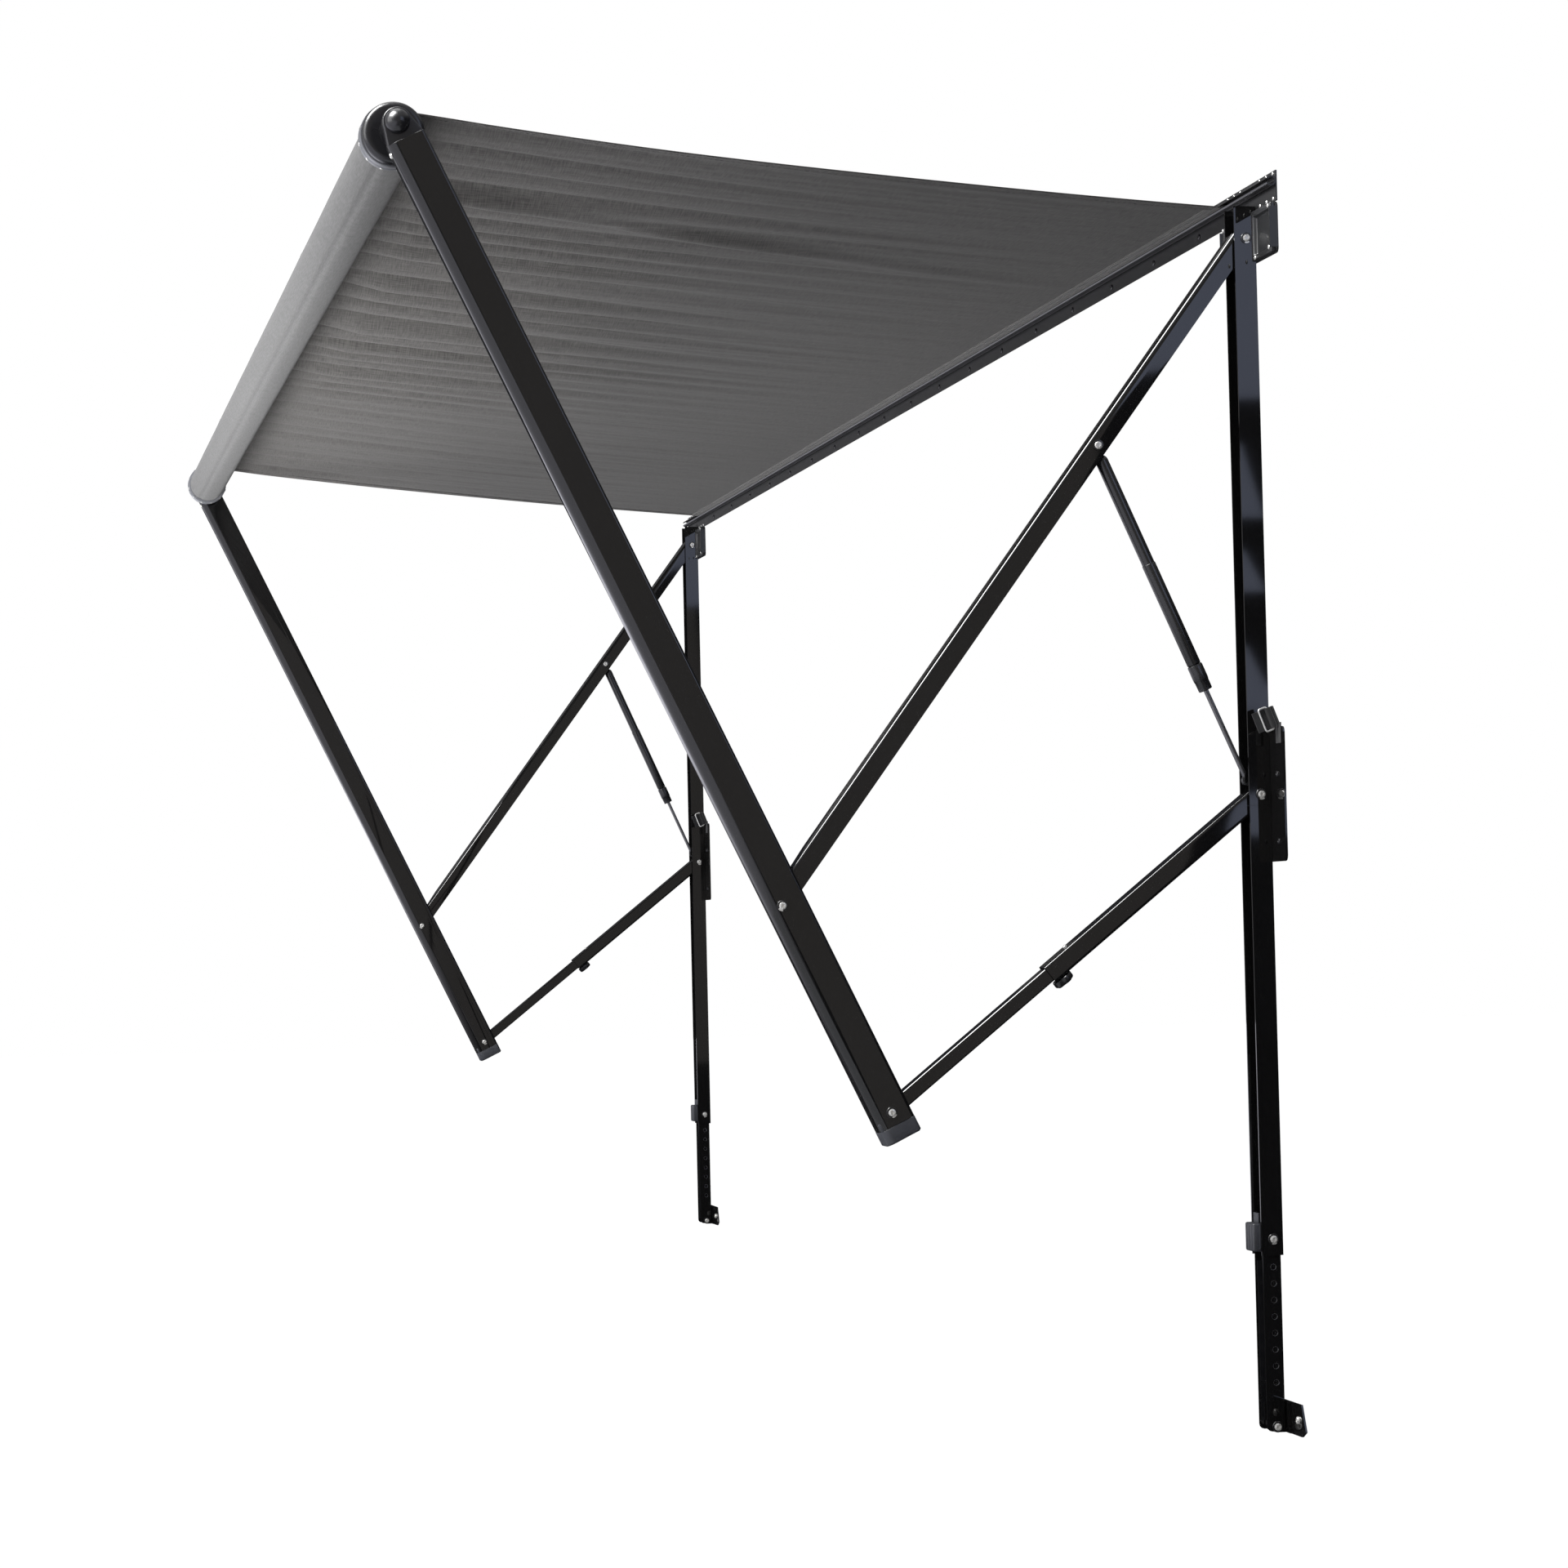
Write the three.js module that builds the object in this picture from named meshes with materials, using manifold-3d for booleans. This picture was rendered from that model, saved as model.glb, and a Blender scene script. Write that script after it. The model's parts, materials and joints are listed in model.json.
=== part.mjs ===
// Vehicle side awning with folding arms, at its real size.
// Millimetres. +X points away from the vehicle wall, +Y along the vehicle, +Z up.
// The origin is the middle of the wall rail's flat back, so the wall is the plane X = 0.
import * as THREE from 'three';
import { mergeVertices } from 'three/addons/utils/BufferGeometryUtils.js';
import Module from 'manifold-3d';

const wasm = await Module();
wasm.setup();

// Driving dimensions of the whole awning
const ARM_SPACING = 4850;
const PLAY = 0.4;
const OVERRUN = 5;
const MERGE = 0.0001;

const arms = {
  pivotOut: 19,
  upperPivot: -65,
  lowerPivot: -933,
  supportLength: 1277.2,
  supportLean: 36.63,
  lowerLength: 764.6,
  lowerLean: 51.69,
  elbowOffset: 9.1,
  rollerReach: 1663.4,
};

const rail = {
  height: 47,
  plate: 2.4,
  overhang: 124,
  grooveRadius: 8,
  grooveBore: 5.4,
  grooveOut: 9.6,
  grooveRise: 7,
  mouth: 3,
  holePitch: 254,
  holeRadius: 3.5,
  holeDrop: 12.5,
};

const channel = { halfWidth: 24, back: 3.3, front: 38, wall: 3, top: -15, joint: -950, bottom: -1646 };

const leg = {
  halfWidth: 20.4,
  back: 6.7,
  front: 35.5,
  wall: 2.4,
  top: -1337,
  bottom: -1917,
  holePitch: 25.4,
  holeRadius: 5,
  holes: 12,
  firstHole: 75,
  holeSides: 8,
  notch: 58,
  boltRise: 7,
  cornerRadius: 8,
};

const guide = {
  halfWidth: 20.4,
  out: 12,
  inset: 14,
  tongueHalf: 16.5,
  height: 44,
  rise: 6,
  bevel: 5,
  tabHeight: 15,
  tabHalf: 12,
  tabWall: 3,
};

const topBracket = { halfWidth: 124, height: 79, plate: 3, gap: 0.8, flange: 14, cornerRadius: 8 };
const midBracket = { halfWidth: 89, top: -830, height: 208, plate: 3, cornerRadius: 9, holeRadius: 4 };

const foot = {
  halfWidth: 106,
  slant: 18,
  height: 49,
  drop: 2,
  plate: 3,
  earGap: 14,
  earWall: 3,
  earOut: 27,
  padHalf: 16,
  padOut: 3,
  padTeeth: 9,
  holeAcross: 75,
};

const mainArm = {
  halfWidth: 24,
  halfDepth: 30,
  wall: 2.5,
  lip: 3,
  corner: 9,
  grooveAcross: -15,
  grooveWidth: 1.8,
  grooveDepth: 0.9,
  headGap: 24,
  tail: 20,
};
const tailCap = { height: 22, floor: 4, wall: 2.2, spigot: 14, spigotWall: 2 };

const head = {
  archRadius: 22.5,
  rise: 4,
  shoulder: 29,
  back: -6,
  face: 15,
  tongue: 90,
  bossRadius: 21,
  bossEnd: 45,
  boreRadius: 11.4,
  boreDepth: 26,
  domeRadius: 21.5,
  domeSink: 6,
};

const supportArm = {
  halfWidth: 18,
  low: -12,
  high: 20,
  wall: 2.4,
  lip: 3,
  corner: 4,
  ribHeight: 1.3,
  ribWidth: 2.4,
  ribSpread: 9,
  endRadius: 12,
  tipHigh: 15,
  taper: 110,
  strutAlong: 406.8,
  strutAcross: 4,
};

const lowerOuter = {
  halfWidth: 17,
  halfDepth: 15,
  wall: 2.1,
  lip: 5.5,
  corner: 3,
  endRadius: 12.2,
  taper: 45,
  length: 438,
};
const lowerInner = { halfWidth: 13.5, low: -11.5, high: 11.5, wall: 2, corner: 2.5, overlap: 110, endRadius: 11.5 };
const knob = { radius: 17, lobes: 5, lobeDepth: 2.6, thickness: 11.5, inset: 14, gap: 1.2, stemRadius: 3.4, stem: 2.6 };

const strut = {
  anchorOut: 34,
  anchorZ: -910,
  eyeRadius: 8,
  eyeHole: 4.4,
  eyeHalf: 4,
  neck: 17,
  radius: 9.6,
  bore: 8.2,
  length: 372,
  sleeveRadius: 12,
  sleeveLength: 43,
  sleeveBore: 4.6,
  rodRadius: 4,
  pistonRadius: 7.6,
  pistonLength: 22,
  rodInside: 112,
};
const anchor = { wall: 4, gap: 1.4, height: 15, base: 12, pinRadius: 3.2, tip: 40 };

const bolt = {
  radius: 4,
  headRadius: 5.6,
  headHeight: 4.2,
  flangeRadius: 8,
  flange: 1.4,
  nutHeight: 5,
  lowHead: 1.3,
  lowFlange: 0.9,
  segments: 12,
};

const roller = {
  tubeRadius: 38,
  tubeWall: 2.4,
  rollRadius: 44.5,
  capRadius: 48,
  rimRadius: 49.5,
  capInset: 48,
  capLength: 38,
  rimLength: 17,
  spigotRadius: 35.2,
  spigotLength: 40,
  capBore: 12.6,
  shaftRadius: 11,
  motorRadius: 30,
  motorLength: 520,
  motorGap: 12,
  spindleReach: 30,
};

const canopy = {
  thickness: 2.4,
  sag: 10,
  sideDraw: 14,
  ripple: 6.5,
  calm: 0.3,
  gatherAt: 0.25,
  gatherSpread: 0.42,
  pleat: 11,
  pleatAt: 0.7,
  pleatDrift: 0.14,
  pleatSpread: 0.017,
  sideGap: 2,
  cordRadius: 4.4,
  cordSides: 8,
  ripplesAcross: 30,
  stepsAcross: 116,
  stepsOut: 4,
};

const strap = {
  width: 32,
  thickness: 2,
  lean: 21,
  pivotOut: 17.3,
  pivotRise: 13.1,
  across: 72,
  loopBack: 10.2,
  bend: 2,
  reach: 24.6,
  rootHalf: 12,
  rootTop: 6,
  rootDrop: 26,
};
const ring = { wire: 1.5, halfLength: 18.2, width: 13.6, corner: 3.4, wireSides: 8, cornerSteps: 4 };

// Finishes
const finish = {
  powderCoat: new THREE.MeshStandardMaterial({ color: 0x212124, roughness: 0.32, metalness: 0.3, flatShading: true }),
  greyPlastic: new THREE.MeshStandardMaterial({ color: 0x484a50, roughness: 0.5, metalness: 0, flatShading: true }),
  blackPlastic: new THREE.MeshStandardMaterial({ color: 0x1c1c1e, roughness: 0.4, metalness: 0, flatShading: true }),
  steel: new THREE.MeshStandardMaterial({ color: 0xc9c9c6, roughness: 0.3, metalness: 1, flatShading: true }),
  strutPaint: new THREE.MeshStandardMaterial({ color: 0x37373a, roughness: 0.4, metalness: 0.4, flatShading: true }),
  aluminium: new THREE.MeshStandardMaterial({ color: 0x9c9ea2, roughness: 0.4, metalness: 0.9, flatShading: true }),
  fabric: new THREE.MeshStandardMaterial({ color: 0x807e7c, roughness: 0.85, metalness: 0, flatShading: true }),
  webbing: new THREE.MeshStandardMaterial({ color: 0x1b1b1c, roughness: 0.9, metalness: 0, flatShading: true }),
};

// Solids: every shape below is closed, with its faces pointing out
function toSolid(geometry) {
  const plain = geometry.index ? geometry.clone() : mergeVertices(geometry, MERGE);
  plain.deleteAttribute('normal');
  plain.deleteAttribute('uv');
  const merged = mergeVertices(plain, MERGE);
  const corners = merged.index.array;
  const kept = [];
  for (let i = 0; i < corners.length; i += 3) {
    const [a, b, c] = [corners[i], corners[i + 1], corners[i + 2]];
    if (a !== b && b !== c && c !== a) kept.push(a, b, c);
  }
  return new wasm.Manifold(new wasm.Mesh({
    numProp: 3,
    vertProperties: new Float32Array(merged.attributes.position.array),
    triVerts: new Uint32Array(kept),
  }));
}

function toGeometry(solid) {
  const mesh = solid.getMesh();
  const geometry = new THREE.BufferGeometry();
  geometry.setAttribute('position', new THREE.BufferAttribute(new Float32Array(mesh.vertProperties), 3));
  geometry.setIndex(new THREE.BufferAttribute(new Uint32Array(mesh.triVerts), 1));
  geometry.computeVertexNormals();
  return geometry;
}

const joinAll = (solids) => solids.reduce((whole, next) => whole.add(next));
const cutAll = (solid, tools) => tools.reduce((rest, tool) => rest.subtract(tool), solid);

// A prism: an outline of [x, y] points, from z0 up to z1
function prism(outline, z0, z1) {
  const shape = new THREE.Shape(outline.map(([x, y]) => new THREE.Vector2(x, y)));
  const geometry = new THREE.ExtrudeGeometry(shape, { depth: z1 - z0, bevelEnabled: false, steps: 1 });
  return toSolid(geometry.translate(0, 0, z0));
}

// A slab: an outline of [x, z] points, from y0 to y1
function slab(outline, y0, y1) {
  const shape = new THREE.Shape(outline.map(([x, z]) => new THREE.Vector2(x, z)));
  const geometry = new THREE.ExtrudeGeometry(shape, { depth: y1 - y0, bevelEnabled: false, steps: 1 });
  return toSolid(geometry.rotateX(Math.PI / 2).translate(0, y1, 0));
}

// A sheet seen from the front: an outline of [y, z] points, from x0 to x1
function panel(outline, x0, x1) {
  const shape = new THREE.Shape(outline.map(([y, z]) => new THREE.Vector2(y, z)));
  const geometry = new THREE.ExtrudeGeometry(shape, { depth: x1 - x0, bevelEnabled: false, steps: 1 });
  return toSolid(geometry.rotateX(Math.PI / 2).rotateZ(Math.PI / 2).translate(x0, 0, 0));
}

function box(x0, x1, y0, y1, z0, z1) {
  const geometry = new THREE.BoxGeometry(x1 - x0, y1 - y0, z1 - z0);
  return toSolid(geometry.translate((x0 + x1) / 2, (y0 + y1) / 2, (z0 + z1) / 2));
}

// A round bar along Y at (x, z)
function barY(radius, x, z, y0, y1, segments = 16) {
  const geometry = new THREE.CylinderGeometry(radius, radius, y1 - y0, segments);
  return toSolid(geometry.translate(x, (y0 + y1) / 2, z));
}

// A round bar along X at (y, z)
function barX(radius, y, z, x0, x1, segments = 12) {
  const geometry = new THREE.CylinderGeometry(radius, radius, x1 - x0, segments);
  return toSolid(geometry.rotateZ(Math.PI / 2).translate((x0 + x1) / 2, y, z));
}

// A body turned about Y from a profile of [radius, y] points that starts and ends on the axis
function turned(profile, segments) {
  return toSolid(new THREE.LatheGeometry(profile.map(([r, y]) => new THREE.Vector2(r, y)), segments));
}

const deg = THREE.MathUtils.degToRad;

// Points on an arc, both ends included
function arc(cx, cy, radius, from, to, steps) {
  return Array.from({ length: steps + 1 }, (_, i) => {
    const angle = deg(from + ((to - from) * i) / steps);
    return [cx + radius * Math.cos(angle), cy + radius * Math.sin(angle)];
  });
}

// A rectangle with rounded corners, in the two axes of its outline
function roundedRectangle(x0, x1, y0, y1, radius, steps = 3) {
  return [
    ...arc(x1 - radius, y0 + radius, radius, -90, 0, steps),
    ...arc(x1 - radius, y1 - radius, radius, 0, 90, steps),
    ...arc(x0 + radius, y1 - radius, radius, 90, 180, steps),
    ...arc(x0 + radius, y0 + radius, radius, 180, 270, steps),
  ];
}

// The outline of an open section: a web at high, two flanges and lips at low, open towards low
function openSection({ low, high, halfWidth, wall, lip = 0, corner = 0, ribs = [], ribHeight = 0, grooves = [] }) {
  const steps = corner ? 4 : 0;
  const outer = (side) => (corner
    ? arc(high - corner, side * (halfWidth - corner), corner, side > 0 ? 0 : -90, side > 0 ? 90 : 0, steps)
    : [[high, side * halfWidth]]);
  const inner = (side) => (corner
    ? arc(high - corner, side * (halfWidth - corner), corner - wall, side > 0 ? 90 : 0, side > 0 ? 0 : -90, steps)
    : [[high - wall, side * (halfWidth - wall)]]);
  const notch = ({ across, width, depth }, side) => [
    [across - (width / 2) * -side, side * halfWidth],
    [across - (width / 2) * -side, side * (halfWidth - depth)],
    [across + (width / 2) * -side, side * (halfWidth - depth)],
    [across + (width / 2) * -side, side * halfWidth],
  ];
  const tip = halfWidth - wall - lip;
  const ribPoints = ribs.flatMap(({ at, width }) => [
    [high, at - width / 2],
    [high + ribHeight, at - width / 2],
    [high + ribHeight, at + width / 2],
    [high, at + width / 2],
  ]);
  const lipOut = lip ? [[low, -tip]] : [[low, -(halfWidth - wall)]];
  const lipIn = lip
    ? [[low + wall, -(halfWidth - wall)], [low + wall, -tip]]
    : [];
  return [
    ...lipOut,
    [low, -halfWidth],
    ...grooves.flatMap((groove) => notch(groove, -1).reverse()),
    ...outer(-1),
    ...ribPoints,
    ...outer(1),
    ...grooves.flatMap((groove) => notch(groove, 1).reverse()),
    [low, halfWidth],
    [low, lipOut[0][1] * -1],
    ...lipIn.map(([x, y]) => [x, -y]).reverse(),
    ...inner(1),
    ...inner(-1),
    ...lipIn,
  ];
}

// Where the linkage stands, each point as [x, z]
const rotate = ([x, z], angle) => {
  const [c, s] = [Math.cos(deg(angle)), Math.sin(deg(angle))];
  return [x * c + z * s, -x * s + z * c];
};
const plus = (a, b) => [a[0] + b[0], a[1] + b[1]];
const minus = (a, b) => [a[0] - b[0], a[1] - b[1]];
const leanOf = ([x, z]) => THREE.MathUtils.radToDeg(Math.atan2(x, z));

const upperPivot = [arms.pivotOut, arms.upperPivot];
const lowerPivot = [arms.pivotOut, arms.lowerPivot];
const elbow = plus(upperPivot, rotate([0, -arms.supportLength], -arms.supportLean));
const tailPivot = plus(lowerPivot, rotate([0, -arms.lowerLength], -arms.lowerLean));
const elbowReach = Math.hypot(...minus(elbow, tailPivot));
const mainLean = leanOf(minus(elbow, tailPivot))
  - THREE.MathUtils.radToDeg(Math.asin(arms.elbowOffset / elbowReach));
const elbowAlong = Math.sqrt(elbowReach ** 2 - arms.elbowOffset ** 2);
const rollerAxis = plus(tailPivot, rotate([0, arms.rollerReach], mainLean));
const strutTop = plus(upperPivot, rotate([supportArm.strutAcross, -supportArm.strutAlong], -arms.supportLean));
const strutAnchor = [strut.anchorOut, strut.anchorZ];
const strutLength = Math.hypot(...minus(strutTop, strutAnchor));
const strutLean = leanOf(minus(strutTop, strutAnchor));
const halfSpan = ARM_SPACING / 2;

// The piece's frame: where its group stands and how far it leans about Y
const frames = {
  wall: { at: [0, 0], lean: 0 },
  main: { at: tailPivot, lean: mainLean },
  support: { at: upperPivot, lean: -arms.supportLean },
  lower: { at: lowerPivot, lean: -arms.lowerLean },
  strut: { at: strutTop, lean: strutLean },
  roller: { at: rollerAxis, lean: 0 },
};

const awning = new THREE.Group();
awning.name = 'side_awning';

function place(name, solid, material, frame = frames.wall, across = 0) {
  const carrier = new THREE.Group();
  carrier.position.set(frame.at[0], across, frame.at[1]);
  carrier.rotation.y = deg(frame.lean);
  const mesh = new THREE.Mesh(toGeometry(solid), material);
  mesh.name = name;
  carrier.add(mesh);
  awning.add(carrier);
}

// Wall pieces of one arm set, with Y counted from the set's middle plane
function channelLength(bottom, top, holeHeights) {
  const outline = openSection({ low: -channel.front, high: -channel.back, halfWidth: channel.halfWidth, wall: channel.wall })
    .map(([x, y]) => [-x, -y]);
  const section = prism(outline, bottom, top);
  const through = channel.halfWidth + OVERRUN;
  const holes = holeHeights.map(
    (z) => barY(bolt.radius + PLAY, arms.pivotOut, z, -through, through, bolt.segments),
  );
  return cutAll(section, holes);
}

const legBoltZ = channel.bottom + 25;

// The channel is one extrusion, built as two lengths that meet behind the middle bracket's pivot
function channelUpper() {
  const section = channelLength(channel.joint + PLAY / 2, channel.top, [arms.upperPivot, arms.lowerPivot]);
  return joinAll([section, strutLug()]);
}

function channelLower() {
  return channelLength(channel.bottom, channel.joint - PLAY / 2, [legBoltZ]);
}

function topBracketPlate() {
  const top = -rail.height / 2 - topBracket.gap;
  const plate = panel(
    roundedRectangle(-topBracket.halfWidth, topBracket.halfWidth, top - topBracket.height, top, topBracket.cornerRadius),
    0,
    topBracket.plate,
  );
  const flanges = [-1, 1].map((side) => {
    const edge = side * topBracket.halfWidth;
    const inner = edge - side * topBracket.plate;
    return box(0, topBracket.flange, Math.min(edge, inner), Math.max(edge, inner),
      top - topBracket.height + topBracket.cornerRadius, top - topBracket.cornerRadius);
  });
  const holeAcross = (topBracket.halfWidth + channel.halfWidth) / 2;
  const holes = [-1, 1].flatMap((side) => [0.2, 0.8].map((share) => barX(
    midBracket.holeRadius, side * holeAcross, top - topBracket.height * share, -OVERRUN, topBracket.plate + OVERRUN)));
  return cutAll(joinAll([plate, ...flanges]), holes);
}

function midBracketPlate() {
  const bottom = midBracket.top - midBracket.height;
  const plate = panel(
    roundedRectangle(-midBracket.halfWidth, midBracket.halfWidth, bottom, midBracket.top, midBracket.cornerRadius),
    0,
    midBracket.plate,
  );
  const holeAcross = (midBracket.halfWidth + channel.halfWidth) / 2;
  const holes = [-1, 1].flatMap((side) => [0.35, 0.85].map((share) => barX(
    midBracket.holeRadius, side * holeAcross, midBracket.top - midBracket.height * share,
    -OVERRUN, midBracket.plate + OVERRUN)));
  return cutAll(plate, holes);
}

function legExtension() {
  const outline = openSection({ low: -leg.front, high: -leg.back, halfWidth: leg.halfWidth, wall: leg.wall })
    .map(([x, y]) => [-x, -y]);
  const section = prism(outline, leg.bottom, leg.top);
  const through = leg.halfWidth + OVERRUN;
  const holes = Array.from({ length: leg.holes }, (_, i) => barY(
    leg.holeRadius, arms.pivotOut, leg.bottom + leg.firstHole + i * leg.holePitch, -through, through, leg.holeSides));
  const boltHole = barY(bolt.radius + PLAY, arms.pivotOut, leg.bottom + leg.boltRise, -through, through, bolt.segments);
  const notch = box(leg.back - OVERRUN, leg.back + leg.wall + PLAY, -leg.halfWidth + leg.wall + PLAY,
    leg.halfWidth - leg.wall - PLAY, leg.bottom - OVERRUN, leg.bottom + leg.notch);
  const side = slab([
    [leg.back, leg.top],
    [leg.back, leg.bottom],
    ...arc(leg.front - leg.cornerRadius, leg.bottom + leg.cornerRadius, leg.cornerRadius, -90, 0, 3),
    [leg.front, leg.top],
  ], -through, through);
  return cutAll(section.intersect(side), [...holes, boltHole, notch]);
}

function legGuide() {
  const start = channel.bottom + guide.rise;
  const end = start + guide.height;
  const back = leg.front + PLAY;
  const front = channel.front + guide.out;
  const block = slab([
    [back, start],
    [front - guide.bevel, start],
    [front, start + guide.bevel],
    [front, end - guide.bevel / 2],
    [front - guide.bevel / 2, end],
    [back, end],
  ], -guide.halfWidth, guide.halfWidth);
  const tongue = box(back - guide.inset, back + PLAY, -guide.tongueHalf, guide.tongueHalf, start, end);
  const tab = box(back, back + guide.tabWall, -guide.tabHalf, guide.tabHalf, end - PLAY, end + guide.tabHeight);
  return joinAll([block, tongue, tab]);
}

function footBracket() {
  const bottom = leg.bottom - foot.drop;
  const top = bottom + foot.height;
  const slantTop = foot.halfWidth - foot.slant;
  const plate = panel([
    [-foot.halfWidth, bottom + foot.slant / 2],
    [-foot.halfWidth + foot.slant, bottom],
    [foot.halfWidth - foot.slant, bottom],
    [foot.halfWidth, bottom + foot.slant / 2],
    [slantTop, top],
    [-slantTop, top],
  ], 0, foot.plate);
  const ears = [-1, 1].map((side) => {
    const [a, b] = [side * foot.earGap, side * (foot.earGap + foot.earWall)];
    return slab([
      [foot.plate - PLAY, bottom],
      ...arc(foot.earOut - leg.cornerRadius, bottom + leg.cornerRadius, leg.cornerRadius, -90, 0, 3),
      [foot.earOut, top - leg.cornerRadius],
      [foot.plate - PLAY, top],
    ], Math.min(a, b), Math.max(a, b));
  });
  const tooth = foot.height / foot.padTeeth;
  const pads = [-1, 1].map((side) => {
    const inner = side * (channel.halfWidth + PLAY);
    const outer = inner + side * foot.padHalf;
    const teeth = Array.from({ length: foot.padTeeth }, (_, i) => [
      [foot.plate + foot.padOut, bottom + tooth * (i + 0.1)],
      [foot.plate + foot.padOut, bottom + tooth * (i + 0.6)],
      [foot.plate + foot.padOut / 2, bottom + tooth * (i + 0.6)],
      [foot.plate + foot.padOut / 2, bottom + tooth * (i + 1.1)],
    ]).flat();
    const rack = [[foot.plate - PLAY, bottom], ...teeth.slice(0, -1), [foot.plate - PLAY, top]];
    return slab(rack, Math.min(inner, outer), Math.max(inner, outer));
  });
  const earHole = barY(bolt.radius + PLAY, arms.pivotOut, leg.bottom + leg.boltRise, -leg.halfWidth, leg.halfWidth, bolt.segments);
  const screwHoles = [-1, 1].map((side) => barX(
    midBracket.holeRadius, side * foot.holeAcross, (top + bottom) / 2, -OVERRUN, foot.plate + OVERRUN));
  return cutAll(joinAll([plate, ...ears, ...pads]), [earHole, ...screwHoles]);
}

// A through bolt: a domed flange head, a shank and a nut, along Y from its head at +Y
function throughBolt(reach, headHeight = bolt.headHeight, flange = bolt.flange) {
  const seat = reach + PLAY;
  return turned([
    [0, -seat - bolt.nutHeight * (headHeight / bolt.headHeight)],
    [bolt.headRadius, -seat - bolt.nutHeight * (headHeight / bolt.headHeight)],
    [bolt.headRadius, -seat],
    [bolt.radius, -seat],
    [bolt.radius, seat],
    [bolt.flangeRadius, seat],
    [bolt.flangeRadius, seat + flange],
    [bolt.headRadius, seat + flange],
    [bolt.headRadius * 0.8, seat + flange + headHeight],
    [0, seat + flange + headHeight],
  ], bolt.segments);
}

// A short bolt that stops inside the wall that it is screwed into
function shortBolt(reach, wall) {
  const seat = reach + PLAY;
  return turned([
    [0, reach - wall + PLAY],
    [bolt.radius, reach - wall + PLAY],
    [bolt.radius, seat],
    [bolt.flangeRadius, seat],
    [bolt.flangeRadius, seat + bolt.flange],
    [bolt.headRadius, seat + bolt.flange],
    [bolt.headRadius * 0.8, seat + bolt.flange + bolt.headHeight],
    [0, seat + bolt.flange + bolt.headHeight],
  ], bolt.segments);
}

// The main arm stands on its lower bolt, with its axis along Z and the outside towards +X
function mainArmSection() {
  const outline = openSection({
    low: -mainArm.halfDepth,
    high: mainArm.halfDepth,
    halfWidth: mainArm.halfWidth,
    wall: mainArm.wall,
    lip: mainArm.lip,
    corner: mainArm.corner,
    grooves: [{ across: mainArm.grooveAcross, width: mainArm.grooveWidth, depth: mainArm.grooveDepth }],
  });
  const section = prism(outline, -mainArm.tail, arms.rollerReach - mainArm.headGap);
  const through = mainArm.halfWidth + OVERRUN;
  return cutAll(section, [
    barY(bolt.radius + PLAY, 0, 0, -through, through, bolt.segments),
    barY(bolt.radius + PLAY, arms.elbowOffset, elbowAlong, -through, through, bolt.segments),
  ]);
}

function mainArmCap() {
  const top = -mainArm.tail - PLAY;
  const bottom = top - tailCap.height;
  const rim = roundedRectangle(-mainArm.halfDepth, mainArm.halfDepth, -mainArm.halfWidth, mainArm.halfWidth, mainArm.corner / 2);
  const shell = prism(rim, bottom, top);
  const inside = mainArm.wall + PLAY;
  const hollow = box(-mainArm.halfDepth + tailCap.wall, mainArm.halfDepth - tailCap.wall,
    -mainArm.halfWidth + tailCap.wall, mainArm.halfWidth - tailCap.wall, bottom + tailCap.floor, top + OVERRUN);
  const spigotOutline = roundedRectangle(
    -mainArm.halfDepth + inside, mainArm.halfDepth - inside, -mainArm.halfWidth + inside, mainArm.halfWidth - inside,
    mainArm.corner - mainArm.wall);
  const spigot = prism(spigotOutline, bottom + tailCap.floor / 2, top + tailCap.spigot);
  const deep = inside + tailCap.spigotWall;
  const spigotHollow = box(-mainArm.halfDepth + deep, mainArm.halfDepth - deep, -mainArm.halfWidth + deep,
    mainArm.halfWidth - deep, bottom + tailCap.floor, top + tailCap.spigot + OVERRUN);
  return shell.subtract(hollow).add(spigot).subtract(spigotHollow);
}

// The head casting, with the roller axis at the main arm's frame height rollerReach
function armHead(inward) {
  const axis = arms.rollerReach;
  const crown = axis + head.rise;
  const tongueLow = axis - head.tongue;
  const shoulderZ = axis - mainArm.headGap;
  const inside = mainArm.halfDepth - mainArm.wall - PLAY * 2;
  const archOutline = [
    ...arc(0, crown, head.archRadius, 0, 180, 10),
    [-head.shoulder + OVERRUN, shoulderZ + PLAY * 2],
    [-inside, shoulderZ],
    [-inside, tongueLow],
    [inside, tongueLow],
    [inside, shoulderZ],
  ];
  const [y0, y1] = inward < 0 ? [head.back, head.face] : [-head.face, -head.back];
  const arch = slab(archOutline, y0, y1);
  const bossY = [inward * head.bossEnd, inward * head.back * -1];
  const boss = barY(head.bossRadius, 0, axis, Math.min(...bossY), Math.max(...bossY), 20);
  const domeGeometry = new THREE.SphereGeometry(head.domeRadius, 16, 10)
    .translate(0, -inward * (head.face - head.domeSink), crown);
  const dome = toSolid(domeGeometry);
  const boreY = [inward * (head.bossEnd + OVERRUN), inward * (head.bossEnd - head.boreDepth)];
  const bore = barY(head.boreRadius, 0, axis, Math.min(...boreY), Math.max(...boreY), 20);
  return joinAll([arch, boss, dome]).subtract(bore);
}

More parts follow.
